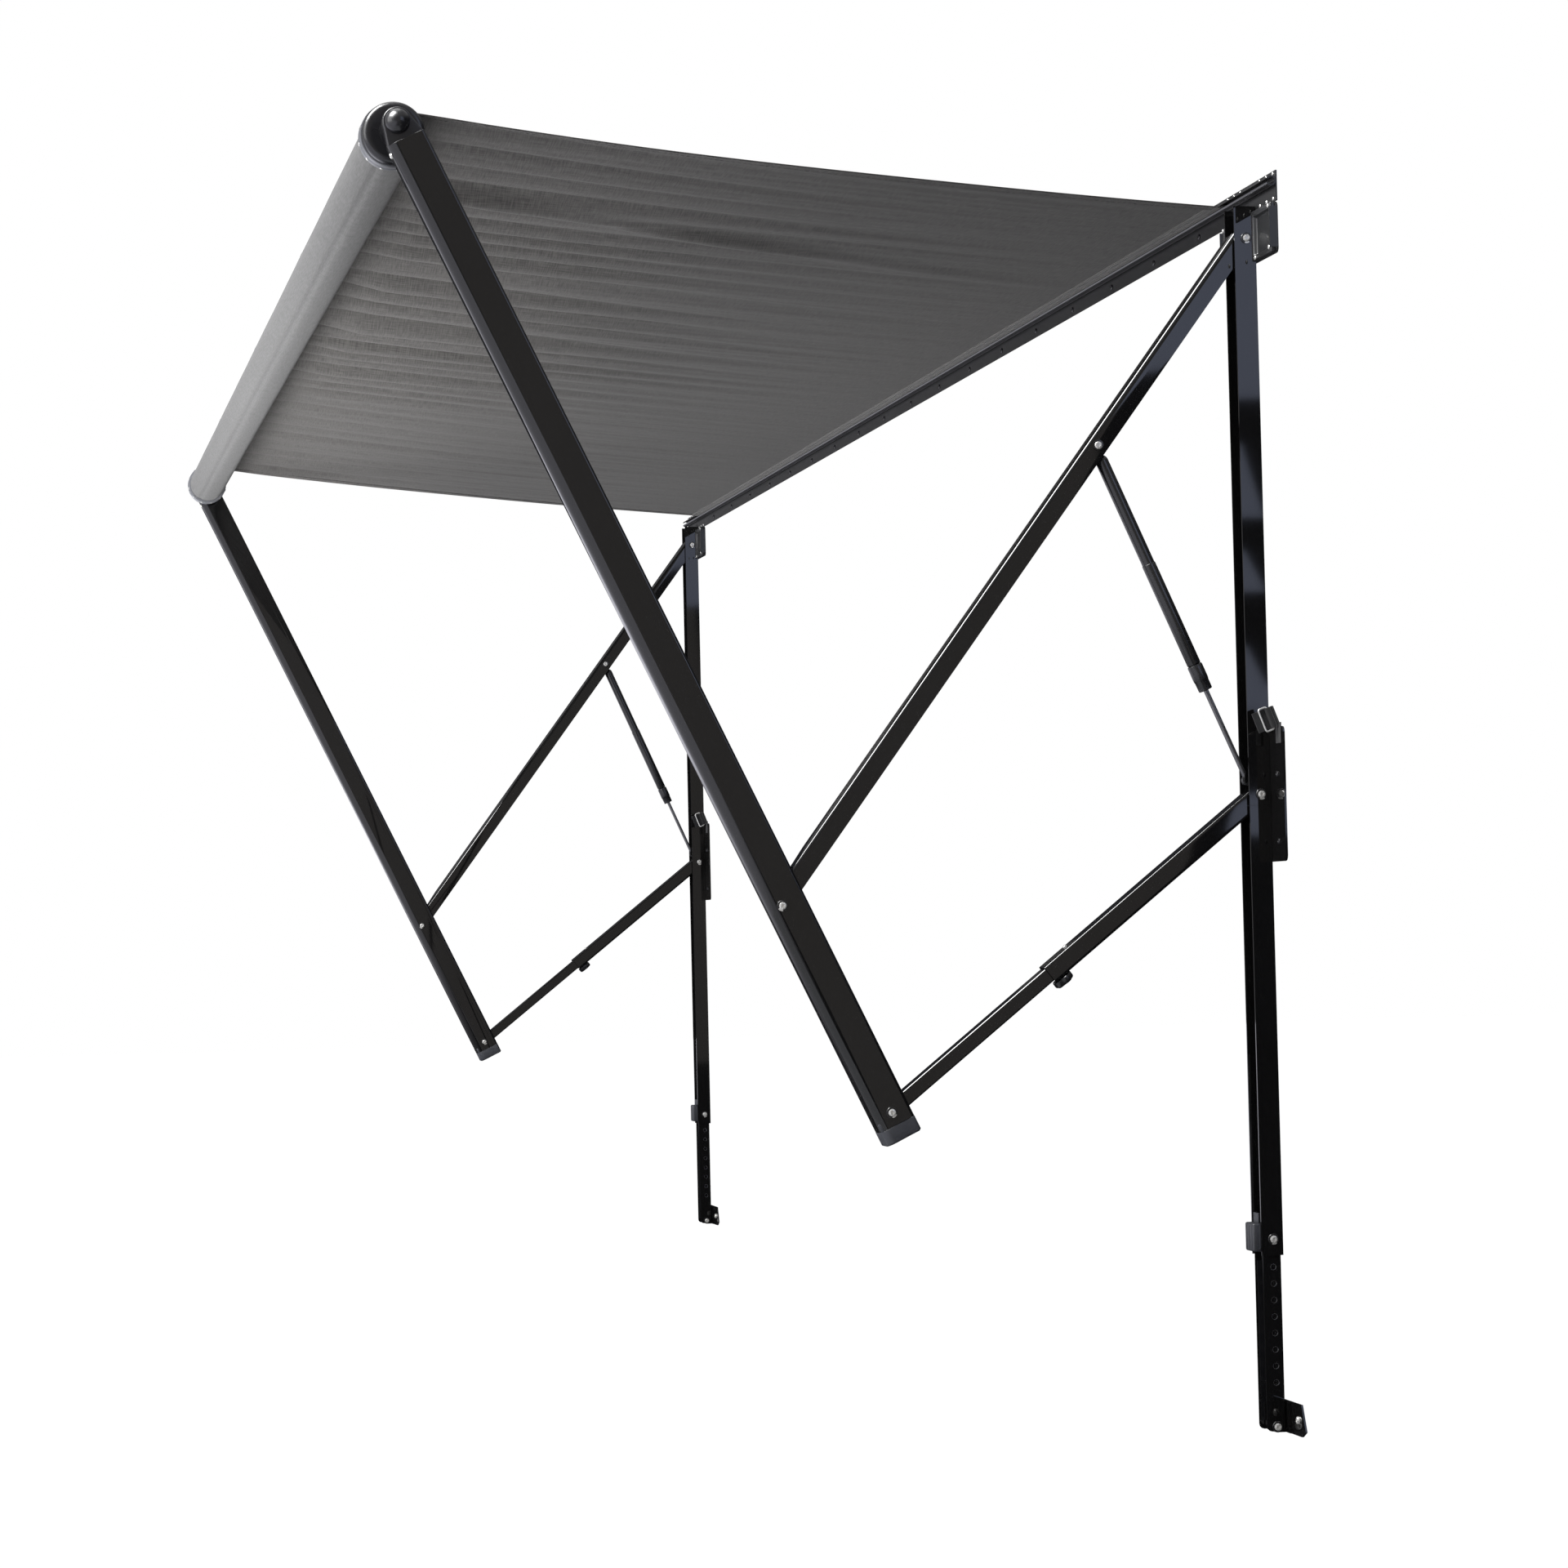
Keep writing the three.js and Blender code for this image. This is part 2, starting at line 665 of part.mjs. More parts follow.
// The support arm hangs from the upper pivot, along -Z, with its ribbed web towards +X
function supportArmSection() {
  const { low, high, halfWidth, wall, lip, corner, ribHeight, ribWidth, ribSpread, endRadius } = supportArm;
  const outline = openSection({
    low,
    high,
    halfWidth,
    wall,
    lip,
    corner,
    ribHeight,
    ribs: [-1, 0, 1].map((place_) => ({ at: place_ * ribSpread, width: ribWidth })),
  });
  const length = arms.supportLength;
  const section = prism(outline, -length - endRadius, endRadius);
  const outside = high + ribHeight + PLAY;
  const side = slab([
    ...arc(0, 0, endRadius, 60, 180, 5),
    ...arc(0, -length, endRadius, 180, 340, 6),
    [supportArm.tipHigh, -length],
    [outside, -length + supportArm.taper],
    [outside, -endRadius / 2],
  ], -halfWidth - OVERRUN, halfWidth + OVERRUN);
  const through = halfWidth + OVERRUN;
  return cutAll(section.intersect(side), [
    barY(bolt.radius + PLAY, 0, 0, -through, through, bolt.segments),
    barY(bolt.radius + PLAY, 0, -length, -through, through, bolt.segments),
    barY(bolt.radius + PLAY, supportArm.strutAcross, -supportArm.strutAlong, -through, through, bolt.segments),
  ]);
}

// The lower arm hangs from the lower pivot, along -Z, with its closed side towards +X
function lowerArmOuter() {
  const { halfWidth, halfDepth, wall, lip, corner, endRadius, taper, length } = lowerOuter;
  const outline = openSection({ low: -halfDepth, high: halfDepth, halfWidth, wall, lip, corner });
  const section = prism(outline, -length, endRadius);
  const side = slab([
    ...arc(0, 0, endRadius, 20, 180, 6),
    [-halfDepth, -taper],
    [-halfDepth, -length],
    [halfDepth, -length],
    [halfDepth, -endRadius / 2],
  ], -halfWidth - OVERRUN, halfWidth + OVERRUN);
  const through = halfWidth + OVERRUN;
  return section.intersect(side).subtract(barY(bolt.radius + PLAY, 0, 0, -through, through, bolt.segments));
}

function lowerArmInner() {
  const { halfWidth, low, high, wall, corner, overlap, endRadius } = lowerInner;
  const start = -lowerOuter.length + overlap;
  const length = arms.lowerLength;
  const tube = prism(roundedRectangle(low, high, -halfWidth, halfWidth, corner), -length - endRadius, start);
  const hollow = box(low + wall, high - wall, -halfWidth + wall, halfWidth - wall, -length - endRadius - OVERRUN, start + OVERRUN);
  const side = slab([
    ...arc(0, -length, endRadius, 180, 360, 8),
    [high, start],
    [low, start],
  ], -halfWidth - OVERRUN, halfWidth + OVERRUN);
  const through = halfWidth + OVERRUN;
  return tube.subtract(hollow).intersect(side)
    .subtract(barY(bolt.radius + PLAY, 0, -length, -through, through, bolt.segments));
}

function clampKnob() {
  const along = lowerOuter.length - knob.inset;
  const steps = knob.lobes * 6;
  const grip = Array.from({ length: steps }, (_, i) => {
    const angle = (2 * Math.PI * i) / steps;
    const radius = knob.radius - (knob.lobeDepth / 2) * (1 - Math.cos(knob.lobes * angle));
    return [radius * Math.cos(angle), -along + radius * Math.sin(angle)];
  });
  const seat = -lowerOuter.halfDepth - knob.gap;
  const disc = panel(grip, seat - knob.thickness, seat);
  const stem = barX(knob.stemRadius, 0, -along, seat - PLAY, seat + knob.gap + knob.stem);
  return disc.add(stem);
}

// The gas strut stands below its upper bolt, along -Z
function strutCylinder() {
  const { radius, bore, length, neck, eyeRadius, eyeHalf, eyeHole } = strut;
  const barrelTop = -neck;
  const barrel = toSolid(new THREE.CylinderGeometry(radius, radius, length - neck, 20)
    .rotateX(Math.PI / 2).translate(0, 0, (barrelTop - length) / 2));
  const cavity = toSolid(new THREE.CylinderGeometry(bore, bore, length - neck * 2 + OVERRUN, 16)
    .rotateX(Math.PI / 2).translate(0, 0, (barrelTop - neck - length - OVERRUN) / 2));
  const eye = slab([...arc(0, 0, eyeRadius, 0, 180, 8), [-eyeRadius, barrelTop - PLAY], [eyeRadius, barrelTop - PLAY]],
    -eyeHalf, eyeHalf);
  return barrel.add(eye).subtract(cavity).subtract(barY(eyeHole, 0, 0, -radius, radius, bolt.segments));
}

function strutSleeve() {
  const top = -strut.length - PLAY;
  const bottom = top - strut.sleeveLength;
  return toSolid(new THREE.CylinderGeometry(strut.sleeveRadius, strut.sleeveRadius * 0.92, top - bottom, 20)
    .rotateX(Math.PI / 2).translate(0, 0, (top + bottom) / 2))
    .subtract(toSolid(new THREE.CylinderGeometry(strut.sleeveBore, strut.sleeveBore, top - bottom + OVERRUN, 16)
      .rotateX(Math.PI / 2).translate(0, 0, (top + bottom) / 2)));
}

function strutRod() {
  const eyeTop = -strutLength + strut.eyeRadius;
  const top = -strut.length + strut.rodInside;
  const rod = toSolid(new THREE.CylinderGeometry(strut.rodRadius, strut.rodRadius, top - eyeTop + PLAY, 14)
    .rotateX(Math.PI / 2).translate(0, 0, (top + eyeTop - PLAY) / 2));
  const piston = toSolid(new THREE.CylinderGeometry(strut.pistonRadius, strut.pistonRadius, strut.pistonLength, 14)
    .rotateX(Math.PI / 2).translate(0, 0, top - strut.pistonLength / 2));
  const eye = barY(strut.eyeRadius, 0, -strutLength, -strut.eyeHalf, strut.eyeHalf, 14);
  return joinAll([rod, piston, eye]).subtract(
    barY(strut.eyeHole, 0, -strutLength, -strut.radius, strut.radius, bolt.segments));
}

// The lug welded in the channel that the strut's rod ends at; its pin stops short of the rod's eye
function strutLug() {
  const y0 = strut.eyeHalf + anchor.gap;
  const back = channel.back + channel.wall - PLAY;
  const low = strut.anchorZ - anchor.pinRadius - anchor.gap;
  const lug = slab([
    [back, low + anchor.height],
    [back, low + anchor.height + anchor.base],
    [anchor.tip, low + anchor.height],
    [anchor.tip, low],
    [strut.anchorOut - anchor.base / 2, low],
  ], y0, y0 + anchor.wall);
  const base = box(back, back + anchor.wall, -anchor.base, y0 + PLAY, low + anchor.height, low + anchor.height + anchor.base);
  const pin = barY(anchor.pinRadius, strut.anchorOut, strut.anchorZ, strut.eyeHalf + PLAY, y0 + PLAY, bolt.segments);
  return joinAll([lug, base, pin]);
}

// Where the tie ring's inner bar lies in the strap's loop
const ringPivot = [strap.pivotOut, midBracket.top + strap.pivotRise];

// The tie strap is folded around the ring's inner bar and runs on under its outer bar
function webbingLoop() {
  const { width, thickness, lean, loopBack, bend, reach, across } = strap;
  const outer = bend + thickness;
  const meets = THREE.MathUtils.radToDeg(Math.asin(bend / outer));
  const band = prism([
    [-loopBack, -outer],
    [reach, -outer],
    [reach, -bend],
    ...arc(0, 0, outer, -meets, 90, 6),
    [-loopBack, outer],
    [-loopBack, bend],
    ...arc(0, 0, bend, 90, -90, 6),
    [-loopBack, -bend],
  ], -width / 2, width / 2);
  const back = midBracket.plate + PLAY;
  const root = box(back, back + thickness, across - strap.rootHalf, across + strap.rootHalf,
    midBracket.top - strap.rootDrop, midBracket.top + strap.rootTop);
  const clear = box(back, back + reach * 2, across - strap.reach, across + strap.reach,
    ringPivot[1] - reach * 2, ringPivot[1] + reach * 2);
  return band.rotate([0, lean, 0]).translate([ringPivot[0], across, ringPivot[1]]).intersect(clear).add(root);
}

// The ring stands in the loop's frame, with its inner bar on the frame's Z axis
function tieRing() {
  const { halfLength, width, corner, wire, cornerSteps, wireSides } = ring;
  const path = roundedRectangle(0, width, -halfLength, halfLength, corner, cornerSteps)
    .map(([x, z]) => new THREE.Vector3(x, 0, z));
  const section = arc(0, 0, wire, 0, 360 - 360 / wireSides, wireSides - 1);
  const positions = [];
  const index = [];
  const out = new THREE.Vector3(0, -1, 0);
  path.forEach((here, i) => {
    const next = (i + 1) % path.length;
    const along = path[next].clone().sub(path[(i + path.length - 1) % path.length]).normalize();
    const across = out.clone().cross(along);
    section.forEach(([x, y], j) => {
      const p = here.clone().addScaledVector(out, x).addScaledVector(across, y);
      positions.push(p.x, p.y, p.z);
      const k = (j + 1) % wireSides;
      const [a, b, c, d] = [i * wireSides + j, i * wireSides + k, next * wireSides + j, next * wireSides + k];
      index.push(a, c, b, b, c, d);
    });
  });
  const geometry = new THREE.BufferGeometry();
  geometry.setAttribute('position', new THREE.Float32BufferAttribute(positions, 3));
  geometry.setIndex(index);
  return toSolid(geometry);
}

// Shared pieces
function wallRail() {
  const half = rail.height / 2;
  const end = halfSpan + rail.overhang;
  const { grooveRadius, grooveBore, grooveOut, grooveRise, mouth, plate } = rail;
  const mouthAngle = THREE.MathUtils.radToDeg(Math.asin(mouth / grooveRadius));
  const innerAngle = THREE.MathUtils.radToDeg(Math.asin(mouth / grooveBore));
  const joinAngle = THREE.MathUtils.radToDeg(Math.acos(-(grooveOut - plate) / grooveRadius));
  const outline = [
    [0, -half],
    [plate, -half],
    ...arc(grooveOut, grooveRise, grooveRadius, -joinAngle, -mouthAngle, 7),
    ...arc(grooveOut, grooveRise, grooveBore, -innerAngle, -360 + innerAngle, 12),
    ...arc(grooveOut, grooveRise, grooveRadius, mouthAngle, joinAngle, 7),
    [plate, half],
    [0, half],
  ];
  const body = slab(outline, -end, end);
  const count = Math.floor(ARM_SPACING / rail.holePitch);
  const holes = Array.from({ length: count + 1 }, (_, i) => barX(
    rail.holeRadius, (i - count / 2) * rail.holePitch, -rail.holeDrop, -OVERRUN, rail.plate + OVERRUN, 8));
  return cutAll(body, holes);
}

const rollEnd = halfSpan - roller.capInset - roller.capLength - roller.rimLength;

// A tube along Y
function tubeY(outerRadius, innerRadius, halfLength, segments) {
  return barY(outerRadius, 0, 0, -halfLength, halfLength, segments)
    .subtract(barY(innerRadius, 0, 0, -halfLength - OVERRUN, halfLength + OVERRUN, segments));
}

function rollerEndCap(side) {
  const face = halfSpan - roller.capInset;
  const rimStart = face - roller.capLength;
  const spigotEnd = rollEnd - roller.spigotLength;
  const round = roller.capLength / 4;
  const cap = turned([
    [0, spigotEnd],
    [roller.spigotRadius, spigotEnd],
    [roller.spigotRadius, rollEnd + PLAY],
    [roller.rimRadius, rollEnd + PLAY],
    [roller.rimRadius, rimStart],
    [roller.capRadius, rimStart],
    [roller.capRadius, face - round],
    [roller.capRadius - round * 0.3, face - round * 0.3],
    [roller.capRadius - round, face],
    [0, face],
  ], 28).subtract(barY(roller.capBore, 0, 0, spigotEnd - OVERRUN, face + OVERRUN, 16));
  return side > 0 ? cap : cap.rotate([0, 0, 180]);
}

function tubeMotor() {
  const shaftTop = halfSpan - head.bossEnd + head.boreDepth - PLAY;
  const bodyTop = rollEnd - roller.spigotLength - roller.motorGap;
  const body = barY(roller.motorRadius, 0, 0, bodyTop - roller.motorLength, bodyTop, 20);
  return body.add(barY(roller.shaftRadius, 0, 0, bodyTop - OVERRUN, shaftTop, 16));
}

function idlerSpindle() {
  const outerEnd = halfSpan - head.bossEnd + head.boreDepth - PLAY;
  const innerEnd = rollEnd - roller.spigotLength - roller.spindleReach;
  return barY(roller.shaftRadius, 0, 0, -outerEnd, -innerEnd, 16);
}

// The canopy hangs by the cord in the rail's groove and meets the top of the roll as its tangent
const canopyStart = [rail.grooveOut, rail.grooveRise];
const sheetRadius = roller.rollRadius + PLAY + canopy.thickness / 2;
const toAxis = minus(rollerAxis, canopyStart);
const canopyRise = Math.atan2(toAxis[1], toAxis[0]) + Math.asin(sheetRadius / Math.hypot(...toAxis));
const canopyEnd = plus(rollerAxis, [-sheetRadius * Math.sin(canopyRise), sheetRadius * Math.cos(canopyRise)]);

// Ripples gather off the middle and die out at the rail; one deep pleat runs near the +Y edge
function canopyHeight(t, across) {
  const { sag, ripplesAcross, calm, gatherAt, gatherSpread, ripple, pleat, pleatAt, pleatDrift, pleatSpread } = canopy;
  const along = canopyStart[1] + (canopyEnd[1] - canopyStart[1]) * t - sag * 4 * t * (1 - t);
  const turn = Math.PI * ripplesAcross * (across + 0.02 * Math.sin(9 * across + 1.5 * t));
  const wave = Math.sin(turn) + 0.4 * Math.sin(turn * 0.61 + 1.3) + 0.3 * Math.sin(turn * 0.37 + 4);
  const gather = calm + (1 - calm) * Math.exp(-(((across - gatherAt) / gatherSpread) ** 2));
  const fade = Math.min(1, t * 1.5) * Math.min(1, (1 - t) * 9);
  const away = (across - pleatAt - pleatDrift * (t - 0.4)) / pleatSpread;
  return along + (ripple * gather * wave - pleat * Math.exp(-(away ** 2))) * fade;
}

function canopySheet() {
  const half = rollEnd - canopy.sideGap;
  const { stepsAcross, stepsOut, thickness, cordRadius, cordSides } = canopy;
  const positions = [];
  const index = [];
  const layers = [-thickness / 2, thickness / 2];
  const at = (layer, i, j) => (layer * (stepsOut + 1) + i) * (stepsAcross + 1) + j;
  layers.forEach((lift) => {
    for (let i = 0; i <= stepsOut; i += 1) {
      const t = 1 - (1 - i / stepsOut) ** 1.7;
      const drawn = half - canopy.sideDraw * 4 * t * (1 - t);
      for (let j = 0; j <= stepsAcross; j += 1) {
        const across = (2 * j) / stepsAcross - 1;
        const x = canopyStart[0] + (canopyEnd[0] - canopyStart[0]) * t;
        positions.push(x, across * drawn, canopyHeight(t, across) + lift);
      }
    }
  });
  const quad = (a, b, c, d) => index.push(a, b, c, a, c, d);
  for (let i = 0; i < stepsOut; i += 1) {
    for (let j = 0; j < stepsAcross; j += 1) {
      quad(at(1, i, j), at(1, i + 1, j), at(1, i + 1, j + 1), at(1, i, j + 1));
      quad(at(0, i, j), at(0, i, j + 1), at(0, i + 1, j + 1), at(0, i + 1, j));
    }
    quad(at(0, i, 0), at(0, i + 1, 0), at(1, i + 1, 0), at(1, i, 0));
    quad(at(0, i + 1, stepsAcross), at(0, i, stepsAcross), at(1, i, stepsAcross), at(1, i + 1, stepsAcross));
  }
  for (let j = 0; j < stepsAcross; j += 1) {
    quad(at(0, 0, j + 1), at(0, 0, j), at(1, 0, j), at(1, 0, j + 1));
    quad(at(0, stepsOut, j), at(0, stepsOut, j + 1), at(1, stepsOut, j + 1), at(1, stepsOut, j));
  }
  const geometry = new THREE.BufferGeometry();
  geometry.setAttribute('position', new THREE.Float32BufferAttribute(positions, 3));
  geometry.setIndex(index);
  return toSolid(geometry).add(barY(cordRadius, ...canopyStart, -half, half, cordSides));
}

// Both arm sets
const sets = [
  { prefix: 'right', across: halfSpan, inward: -1 },
  { prefix: 'left', across: -halfSpan, inward: 1 },
];

sets.forEach(({ prefix, across, inward }) => {
  const add = (name, solid, material, frame) => place(`${prefix}_${name}`, solid, material, frame, across);
  const boltAt = (point) => ({ at: point, lean: 0 });

  add('wall_channel_upper', channelUpper(), finish.powderCoat);
  add('wall_channel_lower', channelLower(), finish.powderCoat);
  add('top_bracket', topBracketPlate(), finish.powderCoat);
  add('mid_bracket', midBracketPlate(), finish.powderCoat);
  add('leg_extension', legExtension(), finish.powderCoat);
  add('leg_guide', legGuide(), finish.greyPlastic);
  add('foot_bracket', footBracket(), finish.powderCoat);
  add('webbing_loop', webbingLoop(), finish.webbing);
  place(`${prefix}_tie_ring`, tieRing(), finish.steel, { at: ringPivot, lean: strap.lean }, across + strap.across);

  add('main_arm', mainArmSection(), finish.powderCoat, frames.main);
  add('main_arm_cap', mainArmCap(), finish.greyPlastic, frames.main);
  add('arm_head', armHead(inward), finish.blackPlastic, frames.main);
  add('support_arm', supportArmSection(), finish.powderCoat, frames.support);
  add('lower_arm_outer', lowerArmOuter(), finish.powderCoat, frames.lower);
  add('lower_arm_inner', lowerArmInner(), finish.powderCoat, frames.lower);
  add('clamp_knob', clampKnob(), finish.blackPlastic, frames.lower);
  add('strut_cylinder', strutCylinder(), finish.strutPaint, frames.strut);
  add('strut_sleeve', strutSleeve(), finish.blackPlastic, frames.strut);
  add('strut_rod', strutRod(), finish.steel, frames.strut);

  add('upper_pivot_bolt', throughBolt(channel.halfWidth), finish.steel, boltAt(upperPivot));
  add('lower_pivot_bolt', throughBolt(channel.halfWidth), finish.steel, boltAt(lowerPivot));
  add('elbow_bolt', throughBolt(mainArm.halfWidth), finish.steel, boltAt(elbow));
  add('tail_bolt', shortBolt(mainArm.halfWidth, mainArm.wall), finish.steel, boltAt(tailPivot));
  add('strut_bolt', throughBolt(supportArm.halfWidth, bolt.lowHead, bolt.lowFlange), finish.steel, boltAt(strutTop));
  add('leg_bolt', shortBolt(channel.halfWidth, channel.wall), finish.steel, boltAt([arms.pivotOut, legBoltZ]));
  add('foot_bolt', throughBolt(leg.halfWidth), finish.steel, boltAt([arms.pivotOut, leg.bottom + leg.boltRise]));
  place(`${prefix}_roller_end_cap`, rollerEndCap(-inward), finish.blackPlastic, frames.roller);
});

function placeShared(name, solid, material, frame = frames.wall) {
  place(name, solid, material, frame);
}

placeShared('wall_rail', wallRail(), finish.powderCoat);
placeShared('roller_tube', tubeY(roller.tubeRadius, roller.tubeRadius - roller.tubeWall, rollEnd, 32), finish.aluminium, frames.roller);
placeShared('fabric_roll', tubeY(roller.rollRadius, roller.tubeRadius + PLAY, rollEnd, 40), finish.fabric, frames.roller);
placeShared('tube_motor', tubeMotor(), finish.steel, frames.roller);
placeShared('idler_spindle', idlerSpindle(), finish.steel, frames.roller);
placeShared('canopy', canopySheet(), finish.fabric);

export default awning;
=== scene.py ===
# %% [markdown]
# This notebook dresses a vehicle side awning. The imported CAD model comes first, as a frame that
# never moves. Everything else is new geometry or a new finish laid over it, in metres, with the
# wall as the plane X = 0, the vehicle's length along Y and Z up.

# %% Load the frame
import json
import math

import bmesh
import bpy
from mathutils import Matrix, Vector, noise


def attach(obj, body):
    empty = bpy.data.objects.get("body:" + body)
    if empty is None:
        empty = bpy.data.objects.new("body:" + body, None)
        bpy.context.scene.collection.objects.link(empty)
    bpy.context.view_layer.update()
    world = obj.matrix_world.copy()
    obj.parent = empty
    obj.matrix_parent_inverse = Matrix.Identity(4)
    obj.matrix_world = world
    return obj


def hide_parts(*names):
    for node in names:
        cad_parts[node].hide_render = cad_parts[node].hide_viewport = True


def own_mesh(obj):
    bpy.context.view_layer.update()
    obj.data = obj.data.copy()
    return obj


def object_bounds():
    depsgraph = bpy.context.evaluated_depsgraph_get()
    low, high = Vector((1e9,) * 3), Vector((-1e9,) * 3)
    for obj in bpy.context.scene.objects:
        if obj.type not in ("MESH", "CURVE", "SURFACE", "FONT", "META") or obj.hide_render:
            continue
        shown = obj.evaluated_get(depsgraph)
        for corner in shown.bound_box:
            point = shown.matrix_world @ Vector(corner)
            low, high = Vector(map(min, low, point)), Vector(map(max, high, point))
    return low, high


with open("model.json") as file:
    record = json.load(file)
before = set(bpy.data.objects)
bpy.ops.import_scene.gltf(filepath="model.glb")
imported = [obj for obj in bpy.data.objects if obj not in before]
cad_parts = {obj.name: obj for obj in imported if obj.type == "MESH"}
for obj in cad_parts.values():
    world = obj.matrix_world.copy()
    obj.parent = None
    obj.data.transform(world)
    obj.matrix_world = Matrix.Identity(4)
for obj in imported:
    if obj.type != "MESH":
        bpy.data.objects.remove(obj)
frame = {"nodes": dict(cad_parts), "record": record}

nodes = frame["nodes"]
cad_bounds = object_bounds()

# %% [markdown]
# The camera stands where the photographer stood: outside the near end, below the canopy, with a
# long lens. Its place was solved from the hole pitch of the rail and the corners of the arms, so
# it is written as plain numbers and everything else has to line up with it.

# %% Set the camera
camera_data = bpy.data.cameras.new("photo_camera")
camera_data.sensor_width = 36.0
camera_data.lens = 92.41
camera = bpy.data.objects.new("photo_camera", camera_data)
camera.location = (2.000, 8.414, -1.129)
camera.rotation_euler = [math.radians(a) for a in (92.1013, 1.3151, 168.4365)]
scene = bpy.context.scene
scene.collection.objects.link(camera)
scene.camera = camera
scene.view_settings.view_transform = "Standard"


# %% Make shading helpers
def wire(tree, made, inputs):
    """Fills a node's inputs: a socket is linked, a triple is a colour, and the rest is written in."""
    for label, value in inputs.items():
        if isinstance(value, bpy.types.NodeSocket):
            tree.links.new(value, made.inputs[label])
        elif isinstance(value, tuple) and len(value) == 3:
            made.inputs[label].default_value = (*value, 1.0)
        else:
            made.inputs[label].default_value = value


def node(tree, kind, inputs=None, **settings):
    """A new node with its settings and its inputs; returns the node."""
    made = tree.nodes.new(kind)
    for label, value in settings.items():
        setattr(made, label, value)
    wire(tree, made, inputs or {})
    return made


def ramp(tree, value, low, high, start, end):
    """A smooth step: start below low, end above high; returns its output."""
    return node(tree, "ShaderNodeMapRange",
                {"Value": value, "From Min": low, "From Max": high, "To Min": start, "To Max": end},
                interpolation_type="SMOOTHSTEP").outputs["Result"]


def calc(tree, operation, *values):
    """A math node whose inputs are sockets or plain numbers; returns its output."""
    return node(tree, "ShaderNodeMath", dict(enumerate(values)), operation=operation).outputs[0]


def blend_colour(tree, share, first, second, how="MIX"):
    """A colour mix whose colours are sockets or plain triples; returns its output."""
    return node(tree, "ShaderNodeMix", {"Factor": share, "A": first, "B": second},
                data_type="RGBA", blend_type=how).outputs["Result"]


def clamped(tree, value):
    """The value, kept between 0 and 1."""
    return calc(tree, "MINIMUM", calc(tree, "MAXIMUM", value, 0.0), 1.0)


def place_parts(tree, kind="Object"):
    """The X, Y and Z of a texture coordinate."""
    place = node(tree, "ShaderNodeTexCoord").outputs[kind]
    return node(tree, "ShaderNodeSeparateXYZ", {0: place}).outputs


def new_material(name):
    """A material with nodes, and its tree."""
    material = bpy.data.materials.new(name)
    material.use_nodes = True
    return material, material.node_tree


# %% Make modelling helpers
def unpick():
    """Deselects everything, because an operator acts on all that is selected."""
    bpy.ops.object.select_all(action="DESELECT")


def pick(piece):
    """Selects one piece alone and makes it active."""
    unpick()
    piece.select_set(True)
    bpy.context.view_layer.objects.active = piece


def applied(piece):
    """Applies a piece's place, turn and size to its mesh."""
    pick(piece)
    bpy.ops.object.transform_apply(location=True, rotation=True, scale=True)
    return piece


def shifted(piece, matrix):
    """Puts a piece through a matrix and applies it to the mesh."""
    piece.matrix_world = matrix @ piece.matrix_world
    return applied(piece)


def move_to(piece, place):
    """Moves a piece by a place's coordinates and applies it to the mesh."""
    return shifted(piece, Matrix.Translation(place))


def along_y(piece, sign=1):
    """Lays an upright turned piece along Y, with its top towards +Y or -Y."""
    return shifted(piece, Matrix.Rotation(math.radians(-90 * sign), 4, "X"))


def along_x(piece, sign=1):
    """Lays an upright turned piece along X, with its top towards +X or -X."""
    return shifted(piece, Matrix.Rotation(math.radians(90 * sign), 4, "Y"))


def edit_all():
    """Enters edit mode with the whole piece selected."""
    bpy.ops.object.mode_set(mode="EDIT")
    bpy.ops.mesh.select_all(action="SELECT")


def edit_done():
    """Leaves edit mode."""
    bpy.ops.object.mode_set(mode="OBJECT")


def modify(piece, kind, name, **settings):
    """A modifier that is applied at once."""
    pick(piece)
    modifier = piece.modifiers.new(name, kind)
    for label, value in settings.items():
        setattr(modifier, label, value)
    bpy.ops.object.modifier_apply(modifier=modifier.name)


def extrude(offset):
    """In edit mode, extrudes what is selected by an offset."""
    bpy.ops.mesh.extrude_region_move(TRANSFORM_OT_translate={"value": offset})


def soften(piece, name, width, segments, angle):
    """Bevels the edges that turn by more than an angle."""
    modify(piece, "BEVEL", name, width=width, segments=segments, limit_method="ANGLE",
           angle_limit=math.radians(angle))


def settle(piece, smooth=35):
    """Outward normals, and smooth shading that stops at real edges."""
    applied(piece)
    edit_all()
    bpy.ops.mesh.remove_doubles(threshold=0.00001)
    bpy.ops.mesh.normals_make_consistent(inside=False)
    edit_done()
    bpy.ops.object.shade_smooth_by_angle(angle=math.radians(smooth))
    return piece


def copy_of(piece):
    """A copy with its own mesh, at the same place."""
    twin = piece.copy()
    twin.data = piece.data.copy()
    scene.collection.objects.link(twin)
    return twin


def pick_faces(piece, test):
    """In edit mode, selects the faces whose middle and normal pass a test."""
    shape = bmesh.from_edit_mesh(piece.data)
    for face in shape.faces:
        face.select_set(test(face.calc_center_median(), face.normal))
    shape.select_flush_mode()
    bmesh.update_edit_mesh(piece.data)


def pick_edges(piece, test):
    """In edit mode, selects the edges whose two ends pass a test."""
    bpy.ops.mesh.select_mode(type="EDGE")
    bpy.ops.mesh.select_all(action="DESELECT")
    shape = bmesh.from_edit_mesh(piece.data)
    for edge in shape.edges:
        edge.select_set(test(edge.verts[0].co, edge.verts[1].co))
    bmesh.update_edit_mesh(piece.data)


